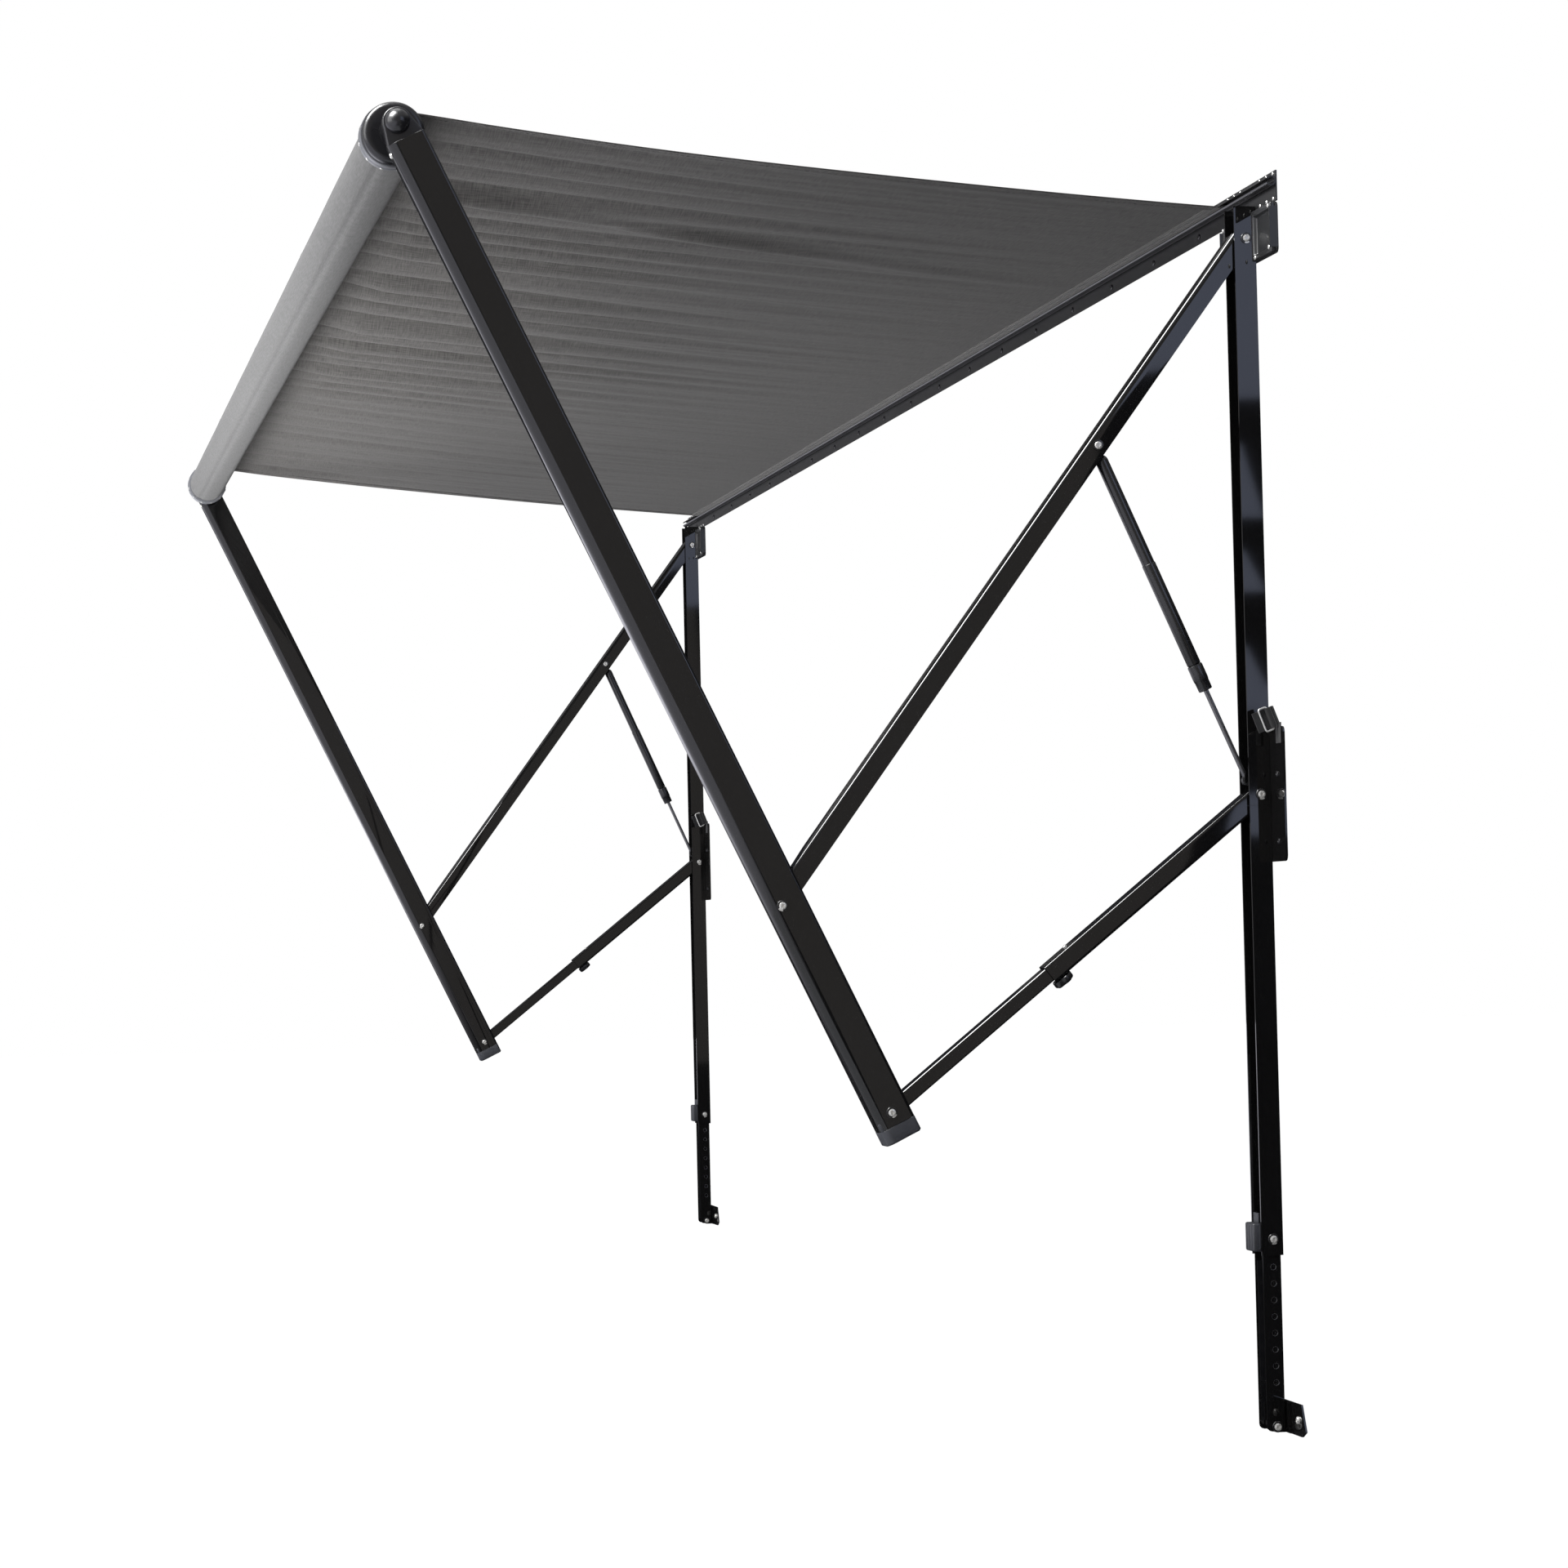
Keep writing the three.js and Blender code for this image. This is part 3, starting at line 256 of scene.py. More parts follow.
def turned(profile, sides):
    """A turned piece: a disc that is extruded and scaled ring by ring up its (radius, height) profile."""
    unpick()
    radius, height = profile[0]
    bpy.ops.mesh.primitive_circle_add(vertices=sides, radius=radius, fill_type="NGON",
                                      location=(0, 0, height))
    piece = applied(bpy.context.object)
    edit_all()
    for next_radius, next_height in profile[1:]:
        extrude((0, 0, next_height - height))
        grow = next_radius / radius
        bpy.ops.transform.resize(value=(grow, grow, 1), center_override=(0, 0, next_height))
        radius, height = next_radius, next_height
    edit_done()
    return settle(piece)


def block(low, high, bevel=0.0, segments=2):
    """A box between two corners with its edges rounded."""
    unpick()
    size = [b - a for a, b in zip(low, high)]
    bpy.ops.mesh.primitive_cube_add(size=1, location=[(a + b) / 2 for a, b in zip(low, high)], scale=size)
    piece = applied(bpy.context.object)
    if bevel:
        edit_all()
        bpy.ops.mesh.bevel(offset=bevel, segments=segments, affect="EDGES")
        edit_done()
    return piece


def join(parts):
    """Joins pieces into the first one."""
    unpick()
    for part in parts:
        part.select_set(True)
    bpy.context.view_layer.objects.active = parts[0]
    bpy.ops.object.join()
    bpy.ops.object.transform_apply(location=True, rotation=True, scale=True)
    return parts[0]


def screw(place, radius, height):
    """A pan head with a cross recess, standing on a surface along +X."""
    head = turned([(radius, 0.0), (radius, height * 0.4), (radius * 0.8, height * 0.85),
                   (radius * 0.5, height), (radius * 0.34, height * 0.96), (radius * 0.2, height * 0.3)], 14)
    return move_to(along_x(head), place)


def ribbon(path, half_width, thickness, smooth=50):
    """A strip that is extruded edge by edge along (x, y) points, half_width up and down, then thickened."""
    unpick()
    bpy.ops.mesh.primitive_plane_add(size=1)
    strip = bpy.context.object
    corners = [(*path[0], -half_width), (*path[1], -half_width),
               (*path[1], half_width), (*path[0], half_width)]
    order = {(-0.5, -0.5): 0, (0.5, -0.5): 1, (0.5, 0.5): 2, (-0.5, 0.5): 3}
    for vertex in strip.data.vertices:
        vertex.co = corners[order[(round(vertex.co.x, 1), round(vertex.co.y, 1))]]
    bpy.ops.object.mode_set(mode="EDIT")
    end = Vector((*path[1], 0.0))
    pick_edges(strip, lambda a, b: (a.xy - end.xy).length < 1e-6 and (b.xy - end.xy).length < 1e-6)
    for here, there in zip(path[1:], path[2:]):
        extrude((there[0] - here[0], there[1] - here[1], 0))
    edit_done()
    modify(strip, "SOLIDIFY", "thickness", thickness=thickness, offset=0.0)
    return settle(strip, smooth)


def trimmed(piece, cuts):
    """Cuts off what lies beyond each (place, outward) plane and fills the cut."""
    for place, outward in cuts:
        pick(piece)
        edit_all()
        bpy.ops.mesh.bisect(plane_co=place, plane_no=outward, use_fill=True, clear_outer=True)
        edit_done()


# %% [markdown]
# A product shot on white has soft light from everywhere, and its dark parts get their shape from
# what they reflect. Here the camera sees white, the world's light is a soft grey, and reflections
# see a studio of their own: dark behind the camera, and bright outside the roller and overhead. A
# broad lamp above the near end draws the fine bright lines along the edges, and a dark plane stands
# in for the vehicle's wall.

# %% Light the stage
world = bpy.data.worlds.new("white_studio")
world.use_nodes = True
scene.world = world
sky = world.node_tree
sky.nodes.clear()
sky_rays = node(sky, "ShaderNodeLightPath").outputs
sky_place = place_parts(sky, "Generated")
outer_glow = ramp(sky, sky_place["X"], 0.16, 0.62, 0.0, 0.8)
upper_glow = ramp(sky, sky_place["Z"], 0.30, 0.72, 0.0, 0.6)
glow = calc(sky, "MAXIMUM", outer_glow, upper_glow)
mirrored = blend_colour(sky, glow, (0.030, 0.031, 0.036), (1.0, 1.0, 1.02))
seen = blend_colour(sky, sky_rays["Is Glossy Ray"], (0.36, 0.364, 0.376), mirrored)
seen = blend_colour(sky, sky_rays["Is Camera Ray"], seen, (1.0, 1.0, 1.0))
sky_light = node(sky, "ShaderNodeBackground", {"Color": seen})
node(sky, "ShaderNodeOutputWorld", {"Surface": sky_light.outputs[0]})


def add_lamp(name, place, target, width, height, power):
    """A broad lamp at a place, turned to face a target."""
    data = bpy.data.lights.new(name, "AREA")
    data.shape = "RECTANGLE"
    data.size, data.size_y, data.energy = width, height, power
    lamp = bpy.data.objects.new(name, data)
    lamp.location = place
    lamp.rotation_euler = (Vector(target) - Vector(place)).to_track_quat("-Z", "Y").to_euler()
    scene.collection.objects.link(lamp)
    return lamp


add_lamp("outer_lamp", (5.6, 3.4, 1.2), (0.9, 0.4, -0.4), 4.0, 3.0, 150)
add_lamp("top_lamp", (1.5, 0.0, 4.6), (0.8, 0.0, 0.0), 6.0, 3.0, 110)
edge_lamp = add_lamp("edge_lamp", (3.1, 3.3, 3.0), (0.5, 2.3, -0.8), 2.4, 2.6, 640)
edge_lamp.visible_diffuse = False
far_lamp = add_lamp("far_lamp", (3.0, -5.0, -1.15), (0.8, 0.0, 0.0), 1.2, 1.0, 95)
ground_lamp = add_lamp("ground_lamp", (2.15, -0.4, -0.90), (1.2, -0.4, 0.1), 3.6, 0.8, 44)
for lamp in (far_lamp, ground_lamp):
    lamp.visible_glossy = lamp.visible_camera = False

bpy.ops.mesh.primitive_plane_add(size=1, location=(-0.03, 0, -0.85), rotation=(0, math.radians(90), 0))
shade_card = bpy.context.object
shade_card.name = "shade_card"
shade_card.scale = (2.6, 6.4, 1.0)
shade_card.visible_camera = shade_card.visible_glossy = shade_card.visible_transmission = False
shade_paint, shade_tree = new_material("shade_paint")
wire(shade_tree, shade_tree.nodes["Principled BSDF"], {"Base Color": (0.05, 0.05, 0.05)})
shade_card.data.materials.append(shade_paint)

# %% [markdown]
# The floor is white to the camera and nearly black to reflections, with a bright part outside the
# roller. It lies as low as the lowest foot reaches when the legs are slid out. The cards are seen
# by reflections alone: a broad one that the arms mirror, bluish ones for the upper parts of the
# wall channels and the support arms, and two near the floor for the main arms' lower ends.

# %% Lay the floor and hang the cards
FLOOR_DROP, FLOOR_SIZE = 0.226, 60
GLOW, GLOW_WIDTH = 1.1, 1.4


def paint_by_ray(name, matt, camera_share, mirrored_colour, outer=None):
    """A matt paint that glows white to the camera and its own colour to reflections.

    outer=(x, strength) brightens what reflections see of it beyond x."""
    material, tree = new_material(name)
    tree.nodes.clear()
    rays = node(tree, "ShaderNodeLightPath").outputs
    layers = node(tree, matt).outputs[0]
    for ray, share, colour in (("Is Camera Ray", camera_share, (1.0, 1.0, 1.0)),
                               ("Is Glossy Ray", 1.0, mirrored_colour)):
        strength = GLOW
        if outer and ray == "Is Glossy Ray":
            strength = ramp(tree, place_parts(tree)["X"], outer[0], outer[0] + GLOW_WIDTH, 1.0, outer[1])
        glow_layer = node(tree, "ShaderNodeEmission", {"Color": colour, "Strength": strength}).outputs[0]
        share = calc(tree, "MULTIPLY", rays[ray], share)
        layers = node(tree, "ShaderNodeMixShader", {0: share, 1: layers, 2: glow_layer}).outputs[0]
    node(tree, "ShaderNodeOutputMaterial", {"Surface": layers})
    return material


def card_paint(name, colour):
    """A paint that reflections alone see."""
    return paint_by_ray(name, "ShaderNodeBsdfTransparent", 0.0, colour)


unpick()
bpy.ops.mesh.primitive_plane_add(size=FLOOR_SIZE, location=(0.6, 0.0, cad_bounds[0][2] - FLOOR_DROP))
floor = bpy.context.object
floor.name = "studio_floor"
floor.data.materials.append(paint_by_ray("floor_paint", "ShaderNodeBsdfDiffuse", 0.9, (0.028, 0.028, 0.031),
                                          outer=(0.9, 44.0)))

CARD_Y, LOW_Z = 12.0, -1.925
BLUE_PAINT = card_paint("card_paint", (1.10, 1.22, 1.62))
ARM_PAINT = card_paint("arm_card_paint", (0.35, 0.33, 0.315))
TAIL_PAINT = card_paint("tail_card_paint", (0.75, 0.77, 0.82))


def hang_card(name, paint, corners, away=CARD_Y):
    """A flat card from a plane whose four corners go to (x, z) points at Y away, or to (x, y, z) points."""
    unpick()
    bpy.ops.mesh.primitive_plane_add(size=1, location=(0, away, 0), rotation=(math.radians(90), 0, 0))
    card = applied(bpy.context.object)
    card.name = name
    for vertex, corner in zip(card.data.vertices, corners):
        vertex.co = corner if len(corner) == 3 else (corner[0], away, corner[1])
    card.data.materials.append(paint)


hang_card("arm_card", ARM_PAINT, [(-3.0, -1.95), (3.2, -1.95), (-2.3, 3.6), (3.2, 3.6)], CARD_Y + 0.05)
hang_card("tail_card", TAIL_PAINT, [(x, y, LOW_Z) for y in (2.0, 4.4) for x in (0.62, 2.2)])
hang_card("low_card", ARM_PAINT,
          [(x, y, LOW_Z) for x, y in ((-0.3, 5.0), (0.8, 5.0), (-2.5, 12.0), (-0.3, 12.0))])
hang_card("blue_card", BLUE_PAINT, [(-8.6, 1.25), (-2.5, 0.953), (-8.6, 6.6), (-2.45, 6.6)])
PATCH_EDGE = -3.02
PATCHES = [[(-3.20, low), (PATCH_EDGE, low), (-3.11, high), (PATCH_EDGE, high)]
           for high, low in ((0.80, 0.50), (0.37, 0.20), (-0.02, -0.20))]
PATCHES.append([(-3.4, -0.32), (PATCH_EDGE, -0.28), (-3.4, -0.20), (PATCH_EDGE, -0.16)])
PATCHES.append([(-3.4, -0.80), (PATCH_EDGE, -0.78), (-3.4, -0.60), (PATCH_EDGE, -0.62)])
for i, corners in enumerate(PATCHES):
    hang_card(f"patch_card_{i}", BLUE_PAINT, corners)

# %% [markdown]
# Finishes are built from small node groups, each one effect that several materials share:
# the fine skin of a coated or moulded surface, the drift of a colour over a large face, and the
# slubs and crossings of a woven cloth. A group only puts out colours, values and heights; the
# shader itself stays in the material.


# %% Make a node group helper
def new_group(name, inputs, outputs):
    """An empty shader group with named sockets; returns it with its two end nodes."""
    tree = bpy.data.node_groups.new(name, "ShaderNodeTree")
    for label, value in inputs.items():
        kind = COLOUR if isinstance(value, tuple) else FLOAT
        socket = tree.interface.new_socket(name=label, in_out="INPUT", socket_type=kind)
        socket.default_value = value
    for label, kind in outputs.items():
        tree.interface.new_socket(name=label, in_out="OUTPUT", socket_type=kind)
    return tree, node(tree, "NodeGroupInput").outputs, node(tree, "NodeGroupOutput")


FLOAT, COLOUR = "NodeSocketFloat", "NodeSocketColor"

# %% Skin: orange peel, mould grain and uneven gloss
skin, skin_in, skin_out = new_group(
    "surface_skin", {"Grain scale": 900.0, "Roughness": 0.3, "Gloss drift": 0.08},
    {"Roughness": FLOAT, "Height": FLOAT})
skin_place = node(skin, "ShaderNodeTexCoord").outputs["Object"]
skin_grain = node(skin, "ShaderNodeTexNoise",
                  {"Vector": skin_place, "Scale": skin_in["Grain scale"], "Detail": 2.0}).outputs["Fac"]
skin_drift = node(skin, "ShaderNodeTexNoise",
                  {"Vector": skin_place, "Scale": 7.0, "Detail": 4.0}).outputs["Fac"]
drift = calc(skin, "MULTIPLY", calc(skin, "SUBTRACT", skin_drift, 0.5), skin_in["Gloss drift"])
wire(skin, skin_out, {"Roughness": calc(skin, "ADD", drift, skin_in["Roughness"]), "Height": skin_grain})

# %% Drift: one colour passing into another over a large face
tint, tint_in, tint_out = new_group(
    "colour_drift",
    {"Colour": (0.1, 0.1, 0.1, 1.0), "Second colour": (0.2, 0.2, 0.2, 1.0), "Scale": 3.0, "Amount": 0.5},
    {"Colour": COLOUR})
tint_place = node(tint, "ShaderNodeTexCoord").outputs["Object"]
tint_noise = node(tint, "ShaderNodeTexNoise", {"Vector": tint_place, "Scale": tint_in["Scale"], "Detail": 5.0,
                                               "Roughness": 0.6}).outputs["Fac"]
tint_share = clamped(tint, calc(tint, "MULTIPLY", calc(tint, "SUBTRACT", tint_noise, 0.35), 3.0))
tint_share = calc(tint, "MULTIPLY", tint_share, tint_in["Amount"])
wire(tint, tint_out, {"Colour": blend_colour(tint, tint_share, tint_in["Colour"], tint_in["Second colour"])})

# %% Weave: crossing threads with slubs, on a UV map that is laid out in metres
weave, weave_in, weave_out = new_group(
    "crossed_threads", {"Threads per metre": 420.0, "Slub length": 26.0, "Slub width": 520.0},
    {"Slubs": FLOAT, "Height": FLOAT})
weave_map = node(weave, "ShaderNodeUVMap", uv_map="cloth").outputs["UV"]
weave_place = node(weave, "ShaderNodeSeparateXYZ", {0: weave_map}).outputs
slub_values, thread_values = [], []
for along, across in (("X", "Y"), ("Y", "X")):
    stretched = node(weave, "ShaderNodeCombineXYZ", {
        0: calc(weave, "MULTIPLY", weave_place[along], weave_in["Slub length"]),
        1: calc(weave, "MULTIPLY", weave_place[across], weave_in["Slub width"])}).outputs[0]
    slub = node(weave, "ShaderNodeTexNoise", {"Vector": stretched, "Scale": 1.0, "Detail": 2.0})
    slub_values.append(slub.outputs["Fac"])
    turn = calc(weave, "MULTIPLY", weave_place[across], weave_in["Threads per metre"])
    thread_values.append(calc(weave, "SINE", calc(weave, "MULTIPLY", turn, 2 * math.pi)))
slubs = calc(weave, "MULTIPLY", calc(weave, "ADD", *slub_values), 0.5)
threads = calc(weave, "MULTIPLY", calc(weave, "ADD", *thread_values), 0.25)
wire(weave, weave_out, {"Slubs": slubs, "Height": calc(weave, "ADD", threads, slubs)})

# %% [markdown]
# The metal is powder coated in a glossy black. Its only detail at arm's length is the faint peel of
# the coat and the way its gloss wanders. Moulded parts have a finer, duller grain, and plated bolts
# are bright with a soft haze.


# %% Make the hard finishes
def hard_finish(name, colour, second, roughness, grain, bump, metallic=0.0, drift_scale=5.0, gloss_drift=0.1):
    """A coated, moulded or plated finish from the skin and drift groups."""
    material, tree = new_material(name)
    colours = node(tree, "ShaderNodeGroup", {"Colour": colour, "Second colour": second, "Scale": drift_scale},
                   node_tree=tint)
    surface = node(tree, "ShaderNodeGroup",
                   {"Grain scale": grain, "Roughness": roughness, "Gloss drift": gloss_drift}, node_tree=skin)
    relief = node(tree, "ShaderNodeBump",
                  {"Strength": bump, "Distance": 0.0004, "Height": surface.outputs["Height"]})
    wire(tree, tree.nodes["Principled BSDF"], {
        "Metallic": metallic, "Base Color": colours.outputs["Colour"],
        "Roughness": surface.outputs["Roughness"], "Normal": relief.outputs["Normal"]})
    return material


finishes = {name: hard_finish(name, *values) for name, values in {
    "powder_coat": ((0.0075, 0.0073, 0.0074), (0.0105, 0.0102, 0.0108), 0.03, 120, 0.0015, 0.0, 5.0, 0.01),
    "rail_coat": ((0.019, 0.019, 0.020), (0.027, 0.027, 0.029), 0.34, 300, 0.01),
    # The pans' grey is lighter than the black coat: painted reflection of the bright studio.
    "pan_painted_reflection": ((0.038, 0.039, 0.041), (0.052, 0.053, 0.056), 0.30, 300, 0.01),
    "washer_coat": ((0.016, 0.016, 0.017), (0.022, 0.022, 0.024), 0.25, 900, 0.02),
    "grey_plastic": ((0.050, 0.053, 0.064), (0.066, 0.069, 0.080), 0.46, 2200, 0.3),
    "black_plastic": ((0.012, 0.012, 0.014), (0.020, 0.020, 0.024), 0.26, 1800, 0.03),
    "bright_steel": ((0.80, 0.79, 0.76), (0.88, 0.88, 0.86), 0.26, 1500, 0.08, 0.35, 60.0),
    "rod_steel": ((0.13, 0.13, 0.137), (0.18, 0.18, 0.19), 0.25, 1200, 0.05, 0.6),
    "strut_paint": ((0.014, 0.014, 0.015), (0.020, 0.020, 0.022), 0.20, 900, 0.02),
    "aluminium": ((0.38, 0.39, 0.40), (0.46, 0.47, 0.48), 0.34, 800, 0.08, 1.0),
    "rim_plastic": ((0.20, 0.205, 0.225), (0.26, 0.265, 0.29), 0.34, 1600, 0.12),
}.items()}
print("hard finishes:", ", ".join(finishes))

# %% [markdown]
# The cloth is a coated polyester. From below it looks like linen: short slubs in both directions
# over a warm grey. On the sheet that grey is darkened towards the wall as painted shade, where the
# wall's shade falls. The slubs change the colour a little and the same height lifts the threads.
# The UV map is in metres, so a thread has its real size on the flat sheet and on the roll alike.
# The roll's cloth is lighter than the sheet's: partly its outer face, partly painted light from above.


# %% Make the cloth finishes
def cloth_finish(name, dark, light, threads, contrast=1.6, slub_length=26.0, slub_width=520.0, painted_wall_shade=None):
    """A woven finish; a shade setting (x0, x1, factor) paints the wall's shade into the colour, darker from x1
    back to x0.
    """
    material, tree = new_material(name)
    pattern = node(tree, "ShaderNodeGroup", {"Threads per metre": threads, "Slub length": slub_length,
                                             "Slub width": slub_width}, node_tree=weave).outputs
    spread = calc(tree, "MULTIPLY", calc(tree, "SUBTRACT", pattern["Slubs"], 0.5), contrast * 2)
    colour = blend_colour(tree, clamped(tree, calc(tree, "ADD", spread, 0.5)), dark, light)
    if painted_wall_shade:
        # Painted shade: the colour grows darker towards the wall, where the wall's shade falls.
        fade = ramp(tree, place_parts(tree)["X"], *painted_wall_shade, 1.0)
        colour = blend_colour(tree, 1.0, colour, fade, "MULTIPLY")
    relief = node(tree, "ShaderNodeBump", {"Strength": 0.35, "Distance": 0.0005, "Height": pattern["Height"]})
    wire(tree, tree.nodes["Principled BSDF"], {"Roughness": 0.82, "Sheen Weight": 0.12, "Base Color": colour,
                                               "Normal": relief.outputs["Normal"]})
    return material


THREADS = 420
for name, dark, light, threads, settings in (
        ("canopy_cloth", (0.064, 0.0610, 0.0580), (0.142, 0.1350, 0.1285), THREADS,
         {"contrast": 2.4, "painted_wall_shade": (0.50, 1.15, 0.58)}),
        # The rolled cloth is lighter than the sheet's: partly its outer face, partly painted light from above.
        ("rolled_cloth", (0.103, 0.1020, 0.1012), (0.178, 0.1765, 0.1755), THREADS, {"contrast": 2.2}),
        ("band_cloth", (0.115, 0.112, 0.110), (0.180, 0.176, 0.172), THREADS, {}),
        ("webbing", (0.010, 0.010, 0.011), (0.030, 0.030, 0.032), 900,
         {"slub_length": 120.0, "slub_width": 1400.0}),
        ("seam_thread", (0.10, 0.10, 0.098), (0.16, 0.16, 0.155), 1500, {})):
    finishes[name] = cloth_finish(name, dark, light, threads, **settings)


# %% Put the finishes on the solids
def finish_node(name, material):
    """Gives a CAD solid its finish through its own material slots."""
    solid = nodes[name]
    if not solid.material_slots:
        solid.data.materials.append(material)
    for place in solid.material_slots:
        place.material = material


for part in frame["record"]["subparts"]:
    finish_node(part["node"], finishes[part["material_slot"]])
for side in ("right", "left"):
    finish_node(f"{side}_strut_rod", finishes["rod_steel"])
finish_node("wall_rail", finishes["rail_coat"])

# %% Break the edges of the metal solids, so that they catch the light
EDGE_BREAKS = {
    "wall_channel_upper": 0.0013, "wall_channel_lower": 0.0013, "top_bracket": 0.0008, "mid_bracket": 0.0008,
    "leg_extension": 0.0009, "foot_bracket": 0.0007, "lower_arm_inner": 0.0010,
}
for side in ("right", "left"):
    for label, width in EDGE_BREAKS.items():
        broken = nodes[f"{side}_{label}"].modifiers.new("broken_edges", "BEVEL")
        broken.width, broken.segments = width, 3
        broken.limit_method, broken.angle_limit = "ANGLE", math.radians(40)

# %% [markdown]
# The arms are one linkage, so their places are worked out here from the same few lengths as the
# CAD model: two pivots on the wall, two arm lengths and their leans. Each arm then has a frame of
# its own, with X outwards, Y along the vehicle and Z up the arm, and every new piece is modelled
# upright in that frame and then seated.

# %% Work out the arms' frames
PIVOT_X, UPPER_Z, LOWER_Z = 0.019, -0.065, -0.933
UPPER_PIVOT = Vector((PIVOT_X, 0.0, UPPER_Z))
LOWER_PIVOT = Vector((PIVOT_X, 0.0, LOWER_Z))
SUPPORT_LENGTH, SUPPORT_LEAN = 1.2772, -36.63
LOWER_LENGTH, LOWER_LEAN = 0.7646, -51.69
ELBOW_OFFSET, ROLLER_REACH = 0.0091, 1.6634
STRUT_TOP, STRUT_FOOT = (0.004, 0, -0.4068), Vector((0.034, 0.0, -0.910))
HALF_SPAN = 2.425
SET_PLACES = {"right": HALF_SPAN, "left": -HALF_SPAN}


def leaned(vector, degrees):
    """A vector of an arm that leans by some degrees, in the vehicle's frame."""
    return Matrix.Rotation(math.radians(degrees), 3, "Y") @ Vector(vector)


def lean_of(run):
    """How far a run leans outwards from upright, in degrees."""
    return math.degrees(math.atan2(run.x, run.z))


elbow = UPPER_PIVOT + leaned((0, 0, -SUPPORT_LENGTH), SUPPORT_LEAN)
tail_pivot = LOWER_PIVOT + leaned((0, 0, -LOWER_LENGTH), LOWER_LEAN)
tail_to_elbow = elbow - tail_pivot
MAIN_LEAN = lean_of(tail_to_elbow) - math.degrees(math.asin(ELBOW_OFFSET / tail_to_elbow.length))
roller_axis = tail_pivot + leaned((0, 0, ROLLER_REACH), MAIN_LEAN)
strut_top = UPPER_PIVOT + leaned(STRUT_TOP, SUPPORT_LEAN)
arm_frames = {
    "main": (tail_pivot, MAIN_LEAN),
    "support": (UPPER_PIVOT, SUPPORT_LEAN),
    "lower": (LOWER_PIVOT, LOWER_LEAN),
    "strut": (strut_top, lean_of(strut_top - STRUT_FOOT)),
    "wall": (Vector((0, 0, 0)), 0.0),
    "roller": (roller_axis, 0.0),
}
print("roller axis at", tuple(round(v, 4) for v in roller_axis), "main arm leans", round(MAIN_LEAN, 3))


def seat(piece, arm, across):
    """Moves a piece from its own upright frame into an arm's, and applies it to the mesh."""
    origin, lean = arm_frames[arm]
    return shifted(piece, Matrix.Translation(origin + Vector((0, across, 0)))
                   @ Matrix.Rotation(math.radians(lean), 4, "Y"))


def own(piece, name, body, material, stands_for=None):
    """Names a piece, gives it its finish and lets it ride on its body, in the place of a solid if named."""
    piece.name = name
    piece.data.name = name
    piece.data.materials.clear()
    piece.data.materials.append(finishes[material])
    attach(piece, body)
    if stands_for:
        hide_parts(stands_for)
    return piece


def fit(piece, arm, across, name, body, material, stands_for=None):
    """Seats a piece in an arm's frame and then owns it."""
    return own(seat(piece, arm, across), name, body, material, stands_for)


# %% [markdown]
# The canopy is one sheet that hangs from the rail's groove and meets the roll as its tangent. The
# arms pull it tight along its length and hardly at all across it, so it gathers into long ripples
# that are strongest at the roll and die out before the rail, each sharp above and round below. The
# sheet is a fine grid whose points follow one formula, with a deeper pleat and small creases added.

# %% Shape the canopy
CLOTH_EDGE = 2.320
GROOVE = Vector((0.0096, 0.0, 0.007))
SHEET_RADIUS, CLOTH_SKIN = 0.0461, 0.0012
SAG, SIDE_DRAW, RIPPLE, RIPPLES_ACROSS = 0.010, 0.014, 0.0135, 32
CALM, GATHER_AT, GATHER_SPREAD = 0.3, 0.25, 0.42
RIPPLE_AT_RAIL, RIPPLE_GROWTH, GROWTH_POWER = 0.12, 1.15, 1.6
PLEAT, PLEAT_AT, PLEAT_DRIFT, PLEAT_SPREAD = 0.016, 0.7, 0.14, 0.017
CREASES = ((0.0022, 46, 1.3, 3.0), (0.0011, 110, 1.9, 7.0))
to_axis = roller_axis - GROOVE
canopy_rise = math.atan2(to_axis.z, to_axis.x) + math.asin(SHEET_RADIUS / to_axis.length)
canopy_end = roller_axis + Vector((-SHEET_RADIUS * math.sin(canopy_rise), 0,
                                   SHEET_RADIUS * math.cos(canopy_rise)))


def canopy_point(t, across):
    """A point of the sheet: t from the rail to the roll, across from -1 to 1."""
    drifted = across + 0.026 * math.sin(8 * across + 1.3 * t) + 0.008 * math.sin(21 * across)
    turn = math.pi * RIPPLES_ACROSS * drifted
    wave = 1 - 2 * abs(math.sin(turn / 2)) + 0.4 * math.sin(turn * 0.61 + 1.3) + 0.3 * math.sin(turn * 0.37 + 4)
    gather = CALM + (1 - CALM) * math.exp(-(((across - GATHER_AT) / GATHER_SPREAD) ** 2))
    away = (across - PLEAT_AT - PLEAT_DRIFT * (t - 0.4)) / PLEAT_SPREAD
    fade = min(1.0, t * 1.5) * min(1.0, (1 - t) * 9)
    crease = sum(height * noise.noise(Vector((across * narrow, t * short, layer)))
                 for height, narrow, short, layer in CREASES)
    crease *= min(1.0, t * 3) * min(1.0, (1 - t) * 12)
    ripple = RIPPLE * (RIPPLE_AT_RAIL + RIPPLE_GROWTH * t ** GROWTH_POWER) * gather * wave
    z = (GROOVE.z + (canopy_end.z - GROOVE.z) * t - SAG * 4 * t * (1 - t)
         + (ripple - PLEAT * math.exp(-(away ** 2))) * fade + crease)
    y = across * (CLOTH_EDGE - SIDE_DRAW * 4 * t * (1 - t))
    return Vector((GROOVE.x + (canopy_end.x - GROOVE.x) * t, y, z))


def map_in_metres(cloth):
    """Lays the UV map of a cloth out in metres, as it lies."""
    cloth_map = cloth.data.uv_layers.active
    cloth_map.name = "cloth"
    for loop in cloth.data.loops:
        cloth_map.data[loop.index].uv = cloth.data.vertices[loop.vertex_index].co.xy


def gather_up(piece):
    """Gives a piece of the canopy a mesh of its own."""
    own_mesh(piece)


